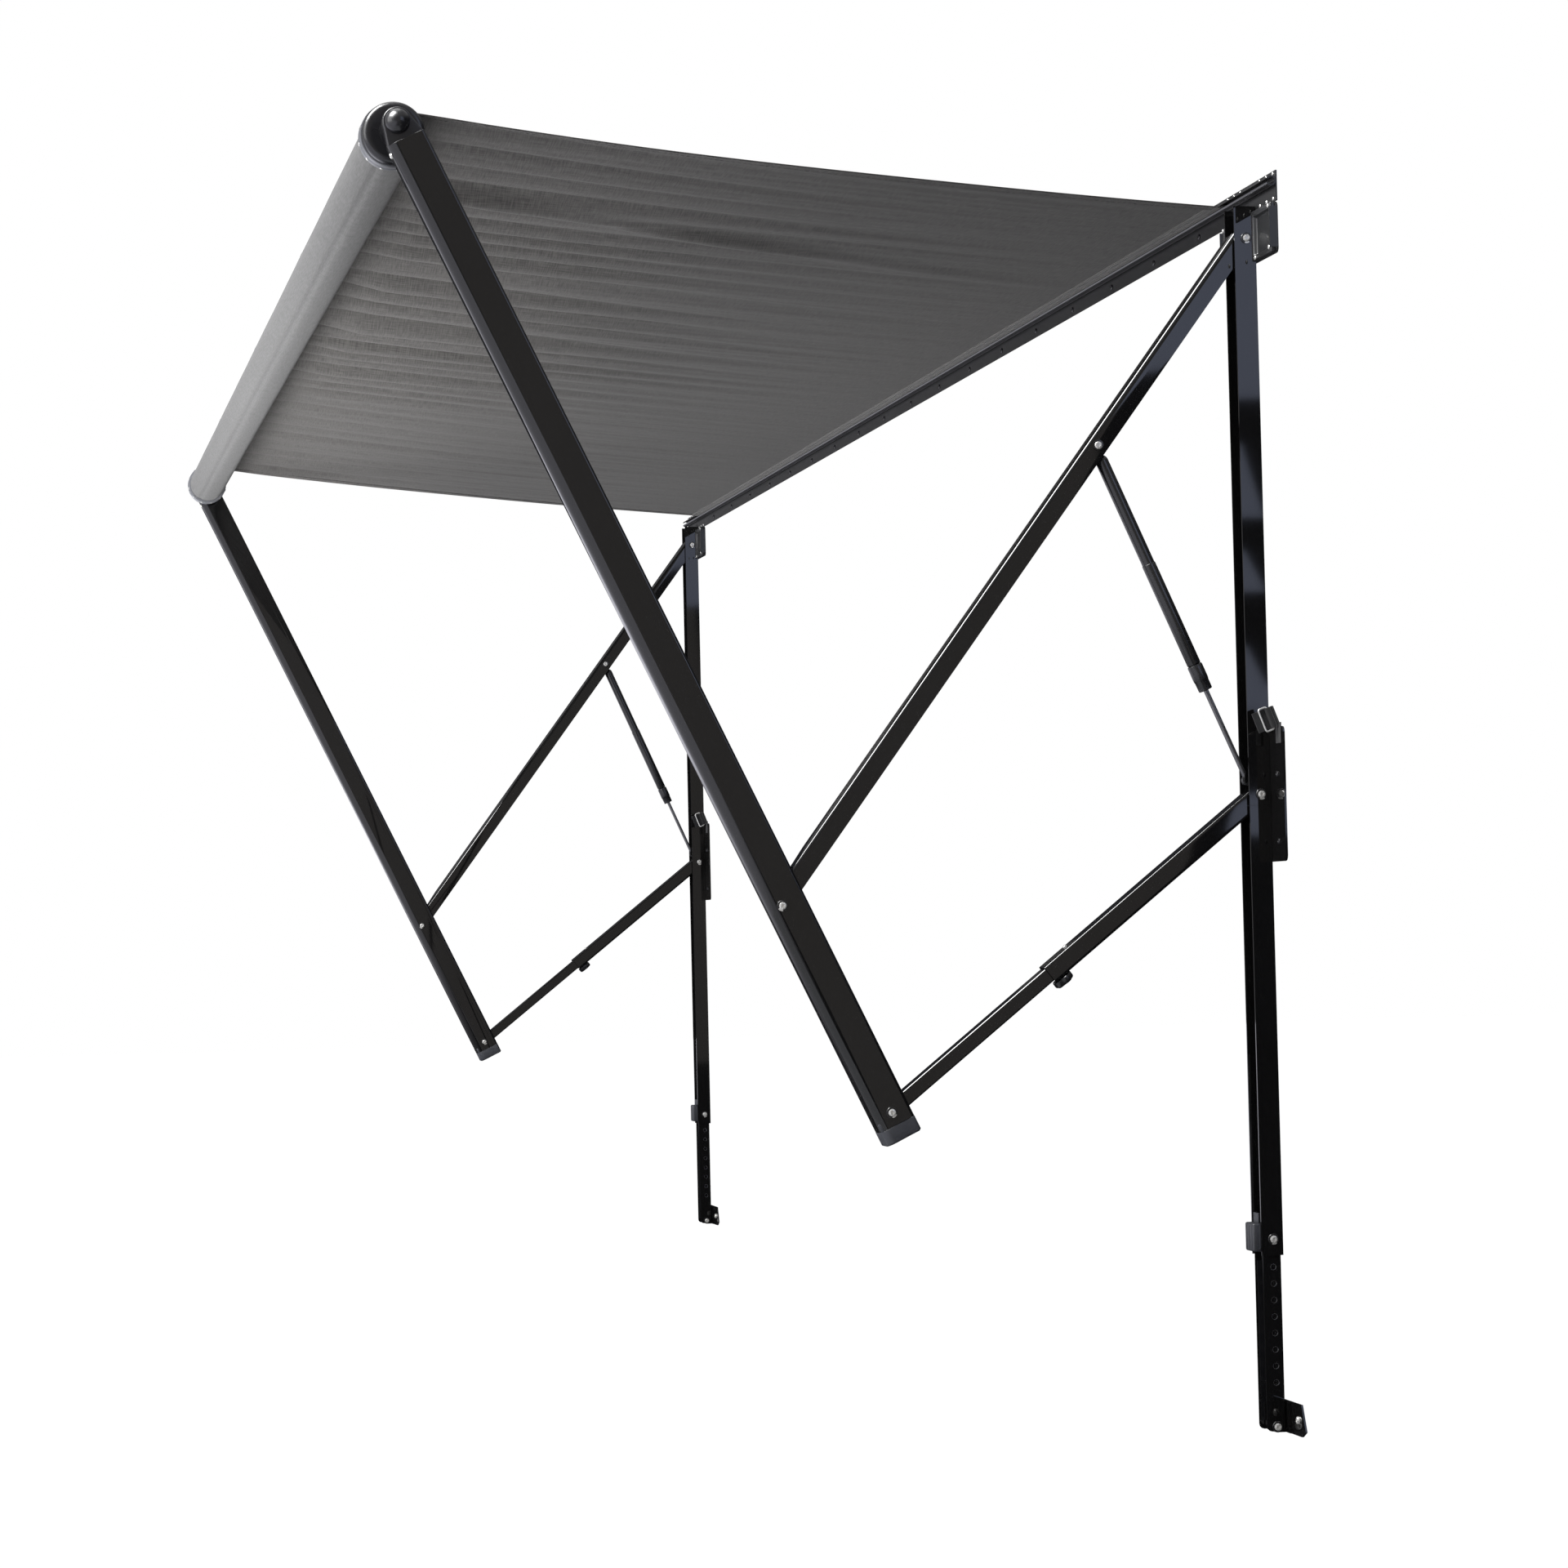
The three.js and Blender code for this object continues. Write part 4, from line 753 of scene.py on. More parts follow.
STEPS_OUT, STEPS_ACROSS = ((56, 620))
unpick()
bpy.ops.mesh.primitive_grid_add(x_subdivisions=STEPS_OUT, y_subdivisions=STEPS_ACROSS, size=2)
canopy = bpy.context.object
for vertex in canopy.data.vertices:
    t, across = (vertex.co.x + 1) / 2, vertex.co.y
    vertex.co = canopy_point(t, across)
map_in_metres(canopy)
modify(canopy, "SOLIDIFY", "cloth_thickness", thickness=CLOTH_SKIN, offset=0.0)
bpy.ops.object.shade_smooth_by_angle(angle=math.radians(50))
own(canopy, "canopy_cloth_sheet", "canopy", "canopy_cloth", "canopy")
gather_up(canopy)

# %% [markdown]
# The keder is the cord sewn into the sheet's wall edge. It sits inside the rail's groove and only
# the stitched band below shows under the mouth, as two fine lines along the rail.

# %% Sew the cord
cord_piece = along_y(turned([(0.0038, -CLOTH_EDGE), (0.0043, -CLOTH_EDGE + 0.001),
                             (0.0043, CLOTH_EDGE - 0.001), (0.0038, CLOTH_EDGE)], 16))
settle(move_to(cord_piece, GROOVE))
own(cord_piece, "keder_cord", "canopy", "webbing")

# %% [markdown]
# The roll is the cloth that is still wound on the tube. Its outer layer isn't a perfect cylinder:
# it dips slightly over the slots in the tube, it wavers a little, and the seams between two widths
# of cloth run round it as fine raised rings.

# %% Wind the roll
ROLL_HALF, ROLL_RADIUS, WOUND_LAYERS = 2.322, 0.0445, 0.0045
SLOT_ANGLES, DIP, DIP_SPREAD = (-64.0, 56.0, 176.0), 0.0018, 7.0
WAVER, SEAM_HEIGHT, SEAM_SPREAD = 0.00035, 0.0004, 0.004
SEAMS = [ROLL_HALF * share for share in (-0.5, 0.0, 0.5)]


def roll_radius(y, angle):
    """The outer layer's radius, with its dips over the tube's slots and its slow unevenness."""
    dip = 0.0
    for slot_angle in SLOT_ANGLES:
        off = (math.degrees(angle) - slot_angle + 180) % 360 - 180
        dip += DIP * math.exp(-(off / DIP_SPREAD) ** 2)
    uneven = WAVER * noise.noise(Vector((y * 3.2, 3 * math.cos(angle), 3 * math.sin(angle))))
    ring = sum(SEAM_HEIGHT * math.exp(-((y - seam) / SEAM_SPREAD) ** 2) for seam in SEAMS)
    return ROLL_RADIUS - 0.0003 - dip + uneven + ring


ROLL_SIDES, ROLL_STEPS = 96, 420
unpick()
bpy.ops.mesh.primitive_grid_add(x_subdivisions=ROLL_SIDES, y_subdivisions=ROLL_STEPS, size=2)
roll = bpy.context.object
roll_map = roll.data.uv_layers.active
roll_map.name = "cloth"
for loop in roll.data.loops:
    point = roll.data.vertices[loop.vertex_index].co
    roll_map.data[loop.index].uv = (point.x * math.pi * ROLL_RADIUS, point.y * ROLL_HALF)
for vertex in roll.data.vertices:
    angle, y = vertex.co.x * math.pi, vertex.co.y * ROLL_HALF
    radius = roll_radius(y, angle)
    vertex.co = (radius * math.cos(angle), y, radius * math.sin(angle))
settle(roll, 60)
modify(roll, "SOLIDIFY", "wound_layers", thickness=WOUND_LAYERS, offset=-1.0)
# The roll's lighter cloth is partly painted light from above.
fit(roll, "roller", 0.0, "wound_cloth", "roller", "rolled_cloth", "fabric_roll")

# %% [markdown]
# The sheet's two side edges are folded over and stitched, and a band of doubled cloth runs along
# the rail with two rows of stitches. All of it lies on the underside and follows the same formula.

# %% Sew the hems, the wall band and their stitches
HEM_SHARE, HEM_LIFT, CLOTH_HALF_THICKNESS = 0.0105, 0.0010, CLOTH_SKIN / 2
STITCH_LENGTH, STITCH_HALF, HEM_PITCH, BAND_PITCH = 0.0052, 0.0005, 0.009, 0.0095


def lay_strip(name, t_range, across_range, steps, cloth="canopy_cloth"):
    """A thin strip laid against the underside of the sheet."""
    unpick()
    bpy.ops.mesh.primitive_grid_add(x_subdivisions=steps[0], y_subdivisions=steps[1], size=2)
    strip = bpy.context.object
    for vertex in strip.data.vertices:
        t = t_range[0] + (t_range[1] - t_range[0]) * (vertex.co.x + 1) / 2
        across = across_range[0] + (across_range[1] - across_range[0]) * (vertex.co.y + 1) / 2
        vertex.co = canopy_point(t, across) - Vector((0, 0, CLOTH_HALF_THICKNESS + HEM_LIFT / 2))
    map_in_metres(strip)
    modify(strip, "SOLIDIFY", "thickness", thickness=HEM_LIFT, offset=0.0)
    own(strip, name, "canopy", cloth)
    gather_up(strip)
    return strip


def stitch_row(name, points):
    """One mesh of short stitches, each at a point and turned along its row."""
    far_corner = Vector((STITCH_LENGTH / 2, STITCH_HALF, STITCH_HALF))
    first = block(-far_corner, far_corner)
    stitches = [first] + [copy_of(first) for _ in points[1:]]
    for stitch, (place, direction) in zip(stitches, points):
        turn = Vector((1, 0, 0)).rotation_difference(direction).to_matrix().to_4x4()
        stitch.matrix_world = Matrix.Translation(place) @ turn
    row = join(stitches)
    own(row, name, "canopy", "seam_thread")
    gather_up(row)
    return row


def stitches_between(start, end, pitch, under):
    """Places and directions of stitches from one (t, across) to another."""
    first, last = canopy_point(*start), canopy_point(*end)
    count = max(2, int((last - first).length / pitch))
    row = []
    for i in range(count):
        share, step = (i + 0.5) / count, 0.2 / count
        here = [a + (b - a) * share for a, b in zip(start, end)]
        ahead = [a + (b - a) * (share + step) for a, b in zip(start, end)]
        place, next_place = canopy_point(*here), canopy_point(*ahead)
        row.append((place - Vector((0, 0, under)), (next_place - place).normalized()))
    return row


UNDER_HEM = CLOTH_HALF_THICKNESS + HEM_LIFT + 0.0001
for label, sign in (("right", 1), ("left", -1)):
    lay_strip(f"{label}_side_hem", (0.012, 0.985),
                          (sign * (1 - HEM_SHARE), sign * 0.9998), (48, 3))
    stitch_line = sign * (1 - HEM_SHARE * 0.86)
    stitch_row(f"{label}_hem_stitches",
                           stitches_between((0.015, stitch_line), (0.98, stitch_line), HEM_PITCH, UNDER_HEM))
BAND = (0.0045, 0.0195)
lay_strip("wall_band", BAND, (-0.9995, 0.9995), (4, 160), "band_cloth")
for row, t in enumerate((0.0085, 0.0150)):
    stitch_row(f"band_stitches_{row}",
                           stitches_between((t, -0.998), (t, 0.998), BAND_PITCH, UNDER_HEM))

# %% [markdown]
# Every pivot has the same bolt: a washer, a flanged dome head with a hex recess on the near side
# and a lock nut behind. One function turns it to size, and each bolt replaces its plain solid.

# %% Fit a bolt to every pivot
BOLT_HEAD = [(0.0082, 0.0000), (0.0087, 0.0003), (0.0087, 0.0010), (0.0083, 0.0014), (0.0058, 0.0014),
             (0.0058, 0.0032), (0.0052, 0.0048), (0.0040, 0.0056), (0.0031, 0.0056), (0.0028, 0.0034)]
DOME_FOOT, WASHER_TOP, SEAT_GAP, LOW_HEAD = 0.0058, 0.0014, 0.0004, 0.45


def fit_bolt(name, body, arm, at, across, reach, low, nut):
    """A bolt head on the +Y side of a section reach wide, and its nut on the other side."""
    squeeze = LOW_HEAD if low else 1.0
    seat_y = reach + SEAT_GAP
    head = move_to(along_y(turned([(r, h * squeeze) for r, h in BOLT_HEAD], 18)), (at[0], seat_y, at[1]))
    parts = [head]
    if nut:
        end = along_y(turned([(0.0056, 0.0), (0.0056, 0.0042 * squeeze), (0.0049, 0.0050 * squeeze)], 6), -1)
        shank = along_y(turned([(0.0039, -seat_y), (0.0039, seat_y)], 14))
        parts += [move_to(end, (at[0], -seat_y, at[1])), move_to(shank, (at[0], 0, at[1]))]
    join(parts)
    own(head, name, body, "bright_steel")
    head.data.materials.append(finishes["washer_coat"])
    for face in head.data.polygons:
        middle = face.center - Vector((at[0], 0, at[1]))
        if middle.y > 0 and Vector((middle.x, middle.z)).length > DOME_FOOT and middle.y < seat_y + WASHER_TOP:
            face.material_index = 1
    return seat(head, arm, across)


LEG_BOLT_Z, FOOT_BOLT_Z = -1.621, -1.910
ARM_REACH, LEG_REACH, SUPPORT_REACH = 0.024, 0.0204, 0.018
for side, across in SET_PLACES.items():
    bolts = [
        ("upper_pivot_bolt", "root", "wall", (PIVOT_X, UPPER_Z), ARM_REACH, False, True),
        ("lower_pivot_bolt", "root", "wall", (PIVOT_X, LOWER_Z), ARM_REACH, False, True),
        ("leg_bolt", "root", "wall", (PIVOT_X, LEG_BOLT_Z), ARM_REACH, False, False),
        ("foot_bolt", f"{side}_leg", "wall", (PIVOT_X, FOOT_BOLT_Z), LEG_REACH, False, True),
        ("elbow_bolt", f"{side}_support", "support", (0.0, -SUPPORT_LENGTH), ARM_REACH, False, True),
        ("strut_bolt", f"{side}_support", "support", STRUT_TOP[::2], SUPPORT_REACH, True, True),
        ("tail_bolt", f"{side}_arm", "main", (0.0, 0.0), ARM_REACH, False, False),
    ]
    for label, body, arm, at, reach, low, nut in bolts:
        bolt = fit_bolt(f"{side}_{label}_dressed", body, arm, at, across, reach, low, nut)
        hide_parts(f"{side}_{label}")
print("bolts fitted:", len(bolts) * len(SET_PLACES))

# %% [markdown]
# The head casting sits in the top of each main arm. A rounded plate carries the dome that covers
# the shaft, its shoulders stop on the cut end of the arm, and the boss behind it takes the shaft.

# %% Cast the arm heads
CROWN, FACE, BACK = ROLLER_REACH + 0.004, 0.015, -0.006
SHOULDER_Z, TONGUE_Z = ROLLER_REACH - 0.0238, ROLLER_REACH - 0.088
HEAD_ROUND, DOME_RADIUS, DOME_HEIGHT = 0.0225, 0.0192, 0.0165
BOSS = [(0.0200, 0.0), (0.0210, 0.001), (0.0210, 0.030), (0.0190, 0.032), (0.0190, 0.0385), (0.0182, 0.0392),
        (0.0116, 0.0392), (0.0113, 0.0385), (0.0113, 0.020)]


def arm_head(side, across):
    """The head of one arm, modelled with its outside towards +Y and mirrored for the left set."""
    unpick()
    bpy.ops.mesh.primitive_cylinder_add(
        vertices=56, radius=HEAD_ROUND, depth=FACE - BACK,
        location=(0, (FACE + BACK) / 2, CROWN), rotation=(math.radians(90), 0, 0))
    plate = applied(bpy.context.object)
    edit_all()
    bpy.ops.mesh.bisect(plane_co=(0, 0, CROWN), plane_no=(0, 0, 1), use_fill=True, clear_inner=True)
    bpy.ops.mesh.select_mode(type="FACE")
    for depth, grow in ((CROWN - SHOULDER_Z - 0.003, 1.30), (0.003, 1.02), (SHOULDER_Z - TONGUE_Z, 1.0)):
        pick_faces(plate, lambda middle, normal: normal.z < -0.99)
        extrude((0, 0, -depth))
        bpy.ops.transform.resize(value=(grow, 1, 1), center_override=(0, 0, 0))
    edit_done()
    soften(plate, "soft_edges", 0.0026, 4, 50)
    settle(plate)
    rises = [math.radians(a) for a in range(0, 90, 6)]
    dome_profile = [(DOME_RADIUS, 0.0)]
    dome_profile += [(DOME_RADIUS * math.cos(a), 0.0012 + DOME_HEIGHT * math.sin(a)) for a in rises]
    dome = move_to(along_y(turned(dome_profile, 40)), (0, FACE - 0.0006, CROWN))
    boss = move_to(along_y(turned(BOSS, 36), -1), (0, BACK + 0.0004, ROLLER_REACH))
    casting = join([plate, dome, boss])
    if side == "left":
        bpy.ops.transform.mirror(constraint_axis=(False, True, False))
        settle(casting)
    fit(casting, "main", across, f"{side}_head_casting", f"{side}_arm", "black_plastic", f"{side}_arm_head")


for side, across in SET_PLACES.items():
    arm_head(side, across)

# %% [markdown]
# Each end of the roller has a dark cap with a shallow dished face and, behind it, a paler rim that
# is screwed to the tube through the cloth.

# %% Turn the end caps, the rims and their screws
CAP_FOOT = 2.3224
CAP_PROFILE = [(0.0352, -0.040), (0.0352, 0.0000), (0.0455, 0.0004), (0.0455, 0.0322), (0.0472, 0.0330),
               (0.0476, 0.0345), (0.0478, 0.0440), (0.0474, 0.0492), (0.0455, 0.0524), (0.0420, 0.0542),
               (0.0380, 0.0546), (0.0340, 0.0540), (0.0230, 0.0528), (0.0226, 0.0540), (0.0136, 0.0540),
               (0.0130, 0.0520)]
RIM_PROFILE = [(0.0450, 0.0001), (0.0490, 0.0003), (0.0495, 0.0010), (0.0495, 0.0140), (0.0488, 0.0150),
               (0.0488, 0.0172), (0.0495, 0.0182), (0.0495, 0.0300), (0.0488, 0.0318), (0.0456, 0.0320)]
RIM_SCREWS, FIRST_SCREW, SCREW_ALONG, RIM_FACE = 12, 12, 0.0060, 0.0494
for side, sign in (("right", 1), ("left", -1)):
    cap = move_to(along_y(turned(CAP_PROFILE, 64), sign), (0, sign * CAP_FOOT, 0))
    fit(cap, "roller", 0.0, f"{side}_end_cap_dressed", "roller", "black_plastic", f"{side}_roller_end_cap")
    rim = move_to(along_y(turned(RIM_PROFILE, 64), sign), (0, sign * CAP_FOOT, 0))
    fit(rim, "roller", 0.0, f"{side}_cap_rim", "roller", "rim_plastic")
    heads = []
    for i in range(RIM_SCREWS):
        angle = math.radians(360 / RIM_SCREWS * i + FIRST_SCREW)
        head = screw((0, 0, 0), 0.0032, 0.0012)
        head.matrix_world = (Matrix.Translation((0, sign * (CAP_FOOT + SCREW_ALONG), 0))
                             @ Matrix.Rotation(angle, 4, "Y") @ Matrix.Translation((RIM_FACE, 0, 0)))
        heads.append(head)
    fit(join(heads), "roller", 0.0, f"{side}_rim_screws", "roller", "bright_steel")

# %% [markdown]
# No daylight shows through the leg's adjusting holes, so each leg gets a thin black sheet behind them: painted
# shade inside the leg, not a part of the awning.

# %% Put sheets of painted shade behind the legs' holes
SHADE_SHEET_LOW, SHADE_SHEET_HIGH = (0.0096, -0.0179, -1.9050), (0.0326, -0.0173, -1.6560)
for side, across in SET_PLACES.items():
    # A black sheet just inside the leg's far wall: painted shade seen through the holes.
    shade_sheet = block(SHADE_SHEET_LOW, SHADE_SHEET_HIGH, 0.0001, 1)
    fit(shade_sheet, "wall", across, f"{side}_leg_shade_sheet", f"{side}_leg", "black_plastic")

# %% [markdown]
# The moulded parts are a lobed clamp knob on each lower arm, a ribbed guide block at the foot of
# each channel and a plug in the lower end of each main arm.

# %% Mould the knobs
KNOB_FOOT, KNOB_ALONG, KNOB_LOBES, LOBE_DEPTH, LOBES_FROM = -0.0162, 0.424, 5, 0.076, 0.0105
KNOB_PROFILE = [(0.0034, -0.0040), (0.0034, 0.0), (0.0158, 0.0002), (0.0170, 0.0014), (0.0172, 0.0030),
                (0.0172, 0.0086), (0.0166, 0.0104), (0.0150, 0.0115), (0.0112, 0.0117), (0.0100, 0.0108),
                (0.0060, 0.0104)]
for side, across in SET_PLACES.items():
    knob = turned(KNOB_PROFILE, 70)
    for vertex in knob.data.vertices:
        radius = vertex.co.xy.length
        if radius > LOBES_FROM:
            angle = math.atan2(vertex.co.y, vertex.co.x)
            vertex.co.xy *= 1 - LOBE_DEPTH * (1 - math.cos(KNOB_LOBES * angle))
    move_to(along_x(knob, -1), (KNOB_FOOT, 0, -KNOB_ALONG))
    fit(knob, "lower", across, f"{side}_knob_dressed", f"{side}_knob", "black_plastic", f"{side}_clamp_knob")

# %% Mould the leg guides
GUIDE_FOOT = -1.640
for side, across in SET_PLACES.items():
    body = block((0.0359, -0.0204, GUIDE_FOOT), (0.0500, 0.0204, GUIDE_FOOT + 0.044), 0.0030, 3)
    tongue = block((0.0225, -0.0165, GUIDE_FOOT + 0.0005), (0.0364, 0.0165, GUIDE_FOOT + 0.0435), 0.0006)
    tab = block((0.0359, -0.0120, GUIDE_FOOT + 0.040), (0.0389, 0.0120, GUIDE_FOOT + 0.059), 0.0008)
    ribs = [block((0.0496, y - 0.0018, GUIDE_FOOT + 0.0035), (0.0507, y + 0.0018, GUIDE_FOOT + 0.0405), 0.0005)
            for y in (-0.0125, 0.0, 0.0125)]
    lips = [block((0.0378, sign * 0.0196 - 0.0014, GUIDE_FOOT + 0.004),
                  (0.0405, sign * 0.0196 + 0.0014, GUIDE_FOOT + 0.040), 0.0005) for sign in (-1, 1)]
    guide = join([body, tongue, tab, *ribs, *lips])
    settle(guide)
    fit(guide, "wall", across, f"{side}_guide_dressed", "root", "grey_plastic", f"{side}_leg_guide")

# %% Mould the main arm caps
CAP_TOP, PLUG_X, PLUG_Y, PLUG_HEIGHT, PLUG_GROOVE = -0.0204, 0.0302, 0.0242, 0.022, (-0.0161, -0.0139)
for side, across in SET_PLACES.items():
    plug = block((-PLUG_X, -PLUG_Y, CAP_TOP - PLUG_HEIGHT), (PLUG_X, PLUG_Y, CAP_TOP))
    bpy.ops.object.mode_set(mode="EDIT")
    for outer_side, corner in ((True, 0.0160), (False, 0.0048)):
        pick_edges(plug, lambda a, b: abs(a.z - b.z) > 0.02 and abs(abs(a.y) - PLUG_Y) < 1e-6
                   and abs(abs(a.x) - PLUG_X) < 1e-6 and (a.x > 0) == outer_side)
        bpy.ops.mesh.bevel(offset=corner, segments=8, affect="EDGES")
    for cut in PLUG_GROOVE:
        bpy.ops.mesh.select_all(action="SELECT")
        bpy.ops.mesh.bisect(plane_co=(cut, 0, 0), plane_no=(1, 0, 0))
    bpy.ops.mesh.select_mode(type="FACE")
    pick_faces(plug, lambda middle, normal: PLUG_GROOVE[0] < middle.x < PLUG_GROOVE[1] and abs(normal.y) > 0.9)
    bpy.ops.transform.resize(value=(1, 0.955, 1), center_override=(0, 0, 0))
    pick_faces(plug, lambda middle, normal: normal.z < -0.9)
    bpy.ops.mesh.inset(thickness=0.0030, depth=0.0)
    bpy.ops.transform.translate(value=(0, 0, -0.0024))
    pick_faces(plug, lambda middle, normal: normal.z > 0.9)
    bpy.ops.mesh.inset(thickness=0.0022, depth=0.0)
    extrude((0, 0, -0.0010))
    edit_done()
    soften(plug, "soft_edges", 0.0009, 3, 40)
    spigot = block((-0.0270, -0.0210, CAP_TOP - 0.002), (0.0270, 0.0210, CAP_TOP + 0.014), 0.0030)
    plug = join([plug, spigot])
    settle(plug)
    fit(plug, "main", across, f"{side}_plug_dressed", f"{side}_arm", "grey_plastic", f"{side}_main_arm_cap")

# %% [markdown]
# The arms have larger or finer rounds than their solids. Each section is drawn here as a line along
# the middle of its wall, extruded edge by edge and given its thickness: the main arm with the groove
# that runs down both sides, the support arm with its flutes, and the lower arm's outer tube. The
# small parts on them follow: the head's screw, the spring button and the bright rims of the leg's holes.

# %% Draw the arms
ARM_DEPTH, ARM_WIDTH, ARM_WALL, OUTER_ROUND, INNER_ROUND = 0.0300, 0.0240, 0.0025, 0.0165, 0.0050
GROOVE_X, GROOVE_HALF, GROOVE_DEPTH, ARM_TAIL, HEAD_GAP = -0.0150, 0.0005, 0.0013, 0.0200, 0.0240


def arc_points(x, y, radius, start, end, steps):
    """Points on an arc between two angles in degrees."""
    angles = [math.radians(start + (end - start) * i / steps) for i in range(steps + 1)]
    return [(x + radius * math.cos(a), y + radius * math.sin(a)) for a in angles]


def arm_section():
    """The middle line of the arm's wall, from lip to lip round the outer side."""
    deep, wide = ARM_DEPTH - ARM_WALL / 2, ARM_WIDTH - ARM_WALL / 2
    outer, inner = OUTER_ROUND - ARM_WALL / 2, INNER_ROUND - ARM_WALL / 2
    half = [(-deep, wide - inner - 0.0003), *arc_points(-deep + inner, wide - inner, inner, 180, 90, 6),
            (GROOVE_X - GROOVE_HALF, wide), (GROOVE_X, wide - GROOVE_DEPTH), (GROOVE_X + GROOVE_HALF, wide),
            *arc_points(deep - outer, wide - outer, outer, 90, 0, 12)]
    return half + [(x, -y) for x, y in reversed(half)]


def support_section():
    """The middle line of the support arm's wall, with two fine flutes in each outer round."""
    deep, wide, round_ = 0.0196, 0.0168, 0.0078
    half = [(-0.0108, 0.0126), (-0.0108, wide)]
    for start, end in ((90, 62), (54, 36), (28, 0)):
        half += arc_points(deep - round_, wide - round_, round_, start, end, 4)
        if end:
            half += arc_points(deep - round_, wide - round_, round_ - 0.0007, end - 4, end - 4, 1)[:1]
    return half + [(x, -y) for x, y in reversed(half)]


def lower_section():
    """The middle line of the lower arm's wall, open towards the wall side."""
    half = [(-0.01395, 0.0115), (-0.01395, 0.0126)] + arc_points(-0.01095, 0.01295, 0.003, 180, 90, 4)
    half += [(-0.0104, 0.01595), (0.0104, 0.01595)]
    half += [*arc_points(0.01095, 0.01295, 0.003, 90, 0, 4), (0.01395, 0.0124)]
    return half + [(x, -y) for x, y in reversed(half)]


ARM_TOP = ROLLER_REACH - HEAD_GAP
ARM_SMOOTH = 28
SUPPORT_CUTS = [((0.0060, 0, 0.0104), (0.722, 0, 0.692)), ((-0.0120, 0, 0.0), (-0.866, 0, 0.5)),
                ((-0.0085, 0, -SUPPORT_LENGTH - 0.0085), (-0.707, 0, -0.707)),
                ((0.0085, 0, -SUPPORT_LENGTH - 0.0085), (0.707, 0, -0.707)),
                ((0.0150, 0, -SUPPORT_LENGTH), (0.998, 0, -0.0572))]
LOWER_CUTS = [((-0.0122, 0, 0), (-0.998, 0, 0.0621)), ((-0.00863, 0, 0.00863), (-0.707, 0, 0.707)),
              ((0.00863, 0, 0.00863), (0.707, 0, 0.707)), ((0.0115, 0, 0.0042), (0.947, 0, 0.322))]
BUTTON = [(0.0030, 0.0), (0.0036, 0.0004), (0.0036, 0.0010),
          (0.0030, 0.0022), (0.0016, 0.0030), (0.0006, 0.0032)]
HOLE_ROWS, HOLE_PITCH, LOWEST_HOLE, LEG_FACE = 12, 0.0254, -1.842, 0.0192
RIM_RADIUS, RIM_HALF, RIM_WALL = 0.0047, 0.0011, 0.0005
SUPPORT_PAST, SUPPORT_WALL = 0.0118, 0.0024
LOWER_HALF, LOWER_MIDDLE, LOWER_WALL = 0.2251, -0.2129, 0.0021
for side, across in SET_PLACES.items():
    arm = ribbon(arm_section(), (ARM_TOP + ARM_TAIL) / 2, ARM_WALL, ARM_SMOOTH)
    move_to(arm, (0, 0, (ARM_TOP - ARM_TAIL) / 2))
    soften(arm, "broken_ends", 0.0004, 2, 60)
    fit(arm, "main", across, f"{side}_arm_section", f"{side}_arm", "powder_coat", f"{side}_main_arm")
    support = ribbon(support_section(), SUPPORT_LENGTH / 2 + SUPPORT_PAST, SUPPORT_WALL, ARM_SMOOTH)
    move_to(support, (0, 0, -SUPPORT_LENGTH / 2))
    trimmed(support, SUPPORT_CUTS)
    settle(support, ARM_SMOOTH)
    fit(support, "support", across,
        f"{side}_support_section", f"{side}_support", "powder_coat", f"{side}_support_arm")
    lower = ribbon(lower_section(), LOWER_HALF, LOWER_WALL, ARM_SMOOTH)
    move_to(lower, (0, 0, LOWER_MIDDLE))
    trimmed(lower, LOWER_CUTS)
    settle(lower, ARM_SMOOTH)
    fit(lower, "lower", across,
        f"{side}_lower_section", f"{side}_lower", "powder_coat", f"{side}_lower_arm_outer")
    edge_screw = screw((0.0300, 0.0090, ROLLER_REACH - 0.0385), 0.0046, 0.0034)
    fit(edge_screw, "main", across, f"{side}_edge_screw", f"{side}_arm", "bright_steel")
    button = move_to(along_x(turned(BUTTON, 16)), (0.0150, 0, -0.389))
    fit(button, "lower", across, f"{side}_spring_button", f"{side}_lower", "bright_steel")
    first_rim = along_y(ribbon(arc_points(0, 0, RIM_RADIUS, 0, 360, 12), RIM_HALF, RIM_WALL, 60))
    rims = [move_to(first_rim, (PIVOT_X, -LEG_FACE, LOWEST_HOLE))]
    for i in range(1, 2 * HOLE_ROWS):
        rims.append(move_to(copy_of(first_rim), (0, 2 * LEG_FACE * (i % 2), HOLE_PITCH * (i // 2))))
    fit(join(rims), "wall", across, f"{side}_hole_rims", f"{side}_leg", "aluminium")

# %% [markdown]
# The gas strut is a painted barrel with rolled ends and a flat eye, a longer plastic sleeve over the
# gland, and a rod. The barrel and sleeve are turned again here with their rolled ends; the rod keeps
# its plain solid, because a rod is plain.

# %% Turn the struts
BARREL = [(0.0046, -0.3720), (0.0096, -0.3720), (0.0106, -0.3712), (0.0109, -0.3696), (0.0109, -0.2012),
          (0.0106, -0.2002), (0.0102, -0.1998), (0.0101, -0.1988), (0.0101, -0.0250), (0.0094, -0.0215),
          (0.0078, -0.0185), (0.0060, -0.0172), (0.0060, -0.0095), (0.0040, -0.0085)]
SLEEVE = [(0.0046, -0.4154), (0.0100, -0.4154), (0.0110, -0.4144), (0.0112, -0.4000), (0.0117, -0.3985),
          (0.0120, -0.3960), (0.0120, -0.3745), (0.0112, -0.3726), (0.0060, -0.3724)]
EYE = [(0.0046, -0.0040), (0.0074, -0.0040), (0.0080, -0.0034),
       (0.0080, 0.0034), (0.0074, 0.0040), (0.0046, 0.0040)]
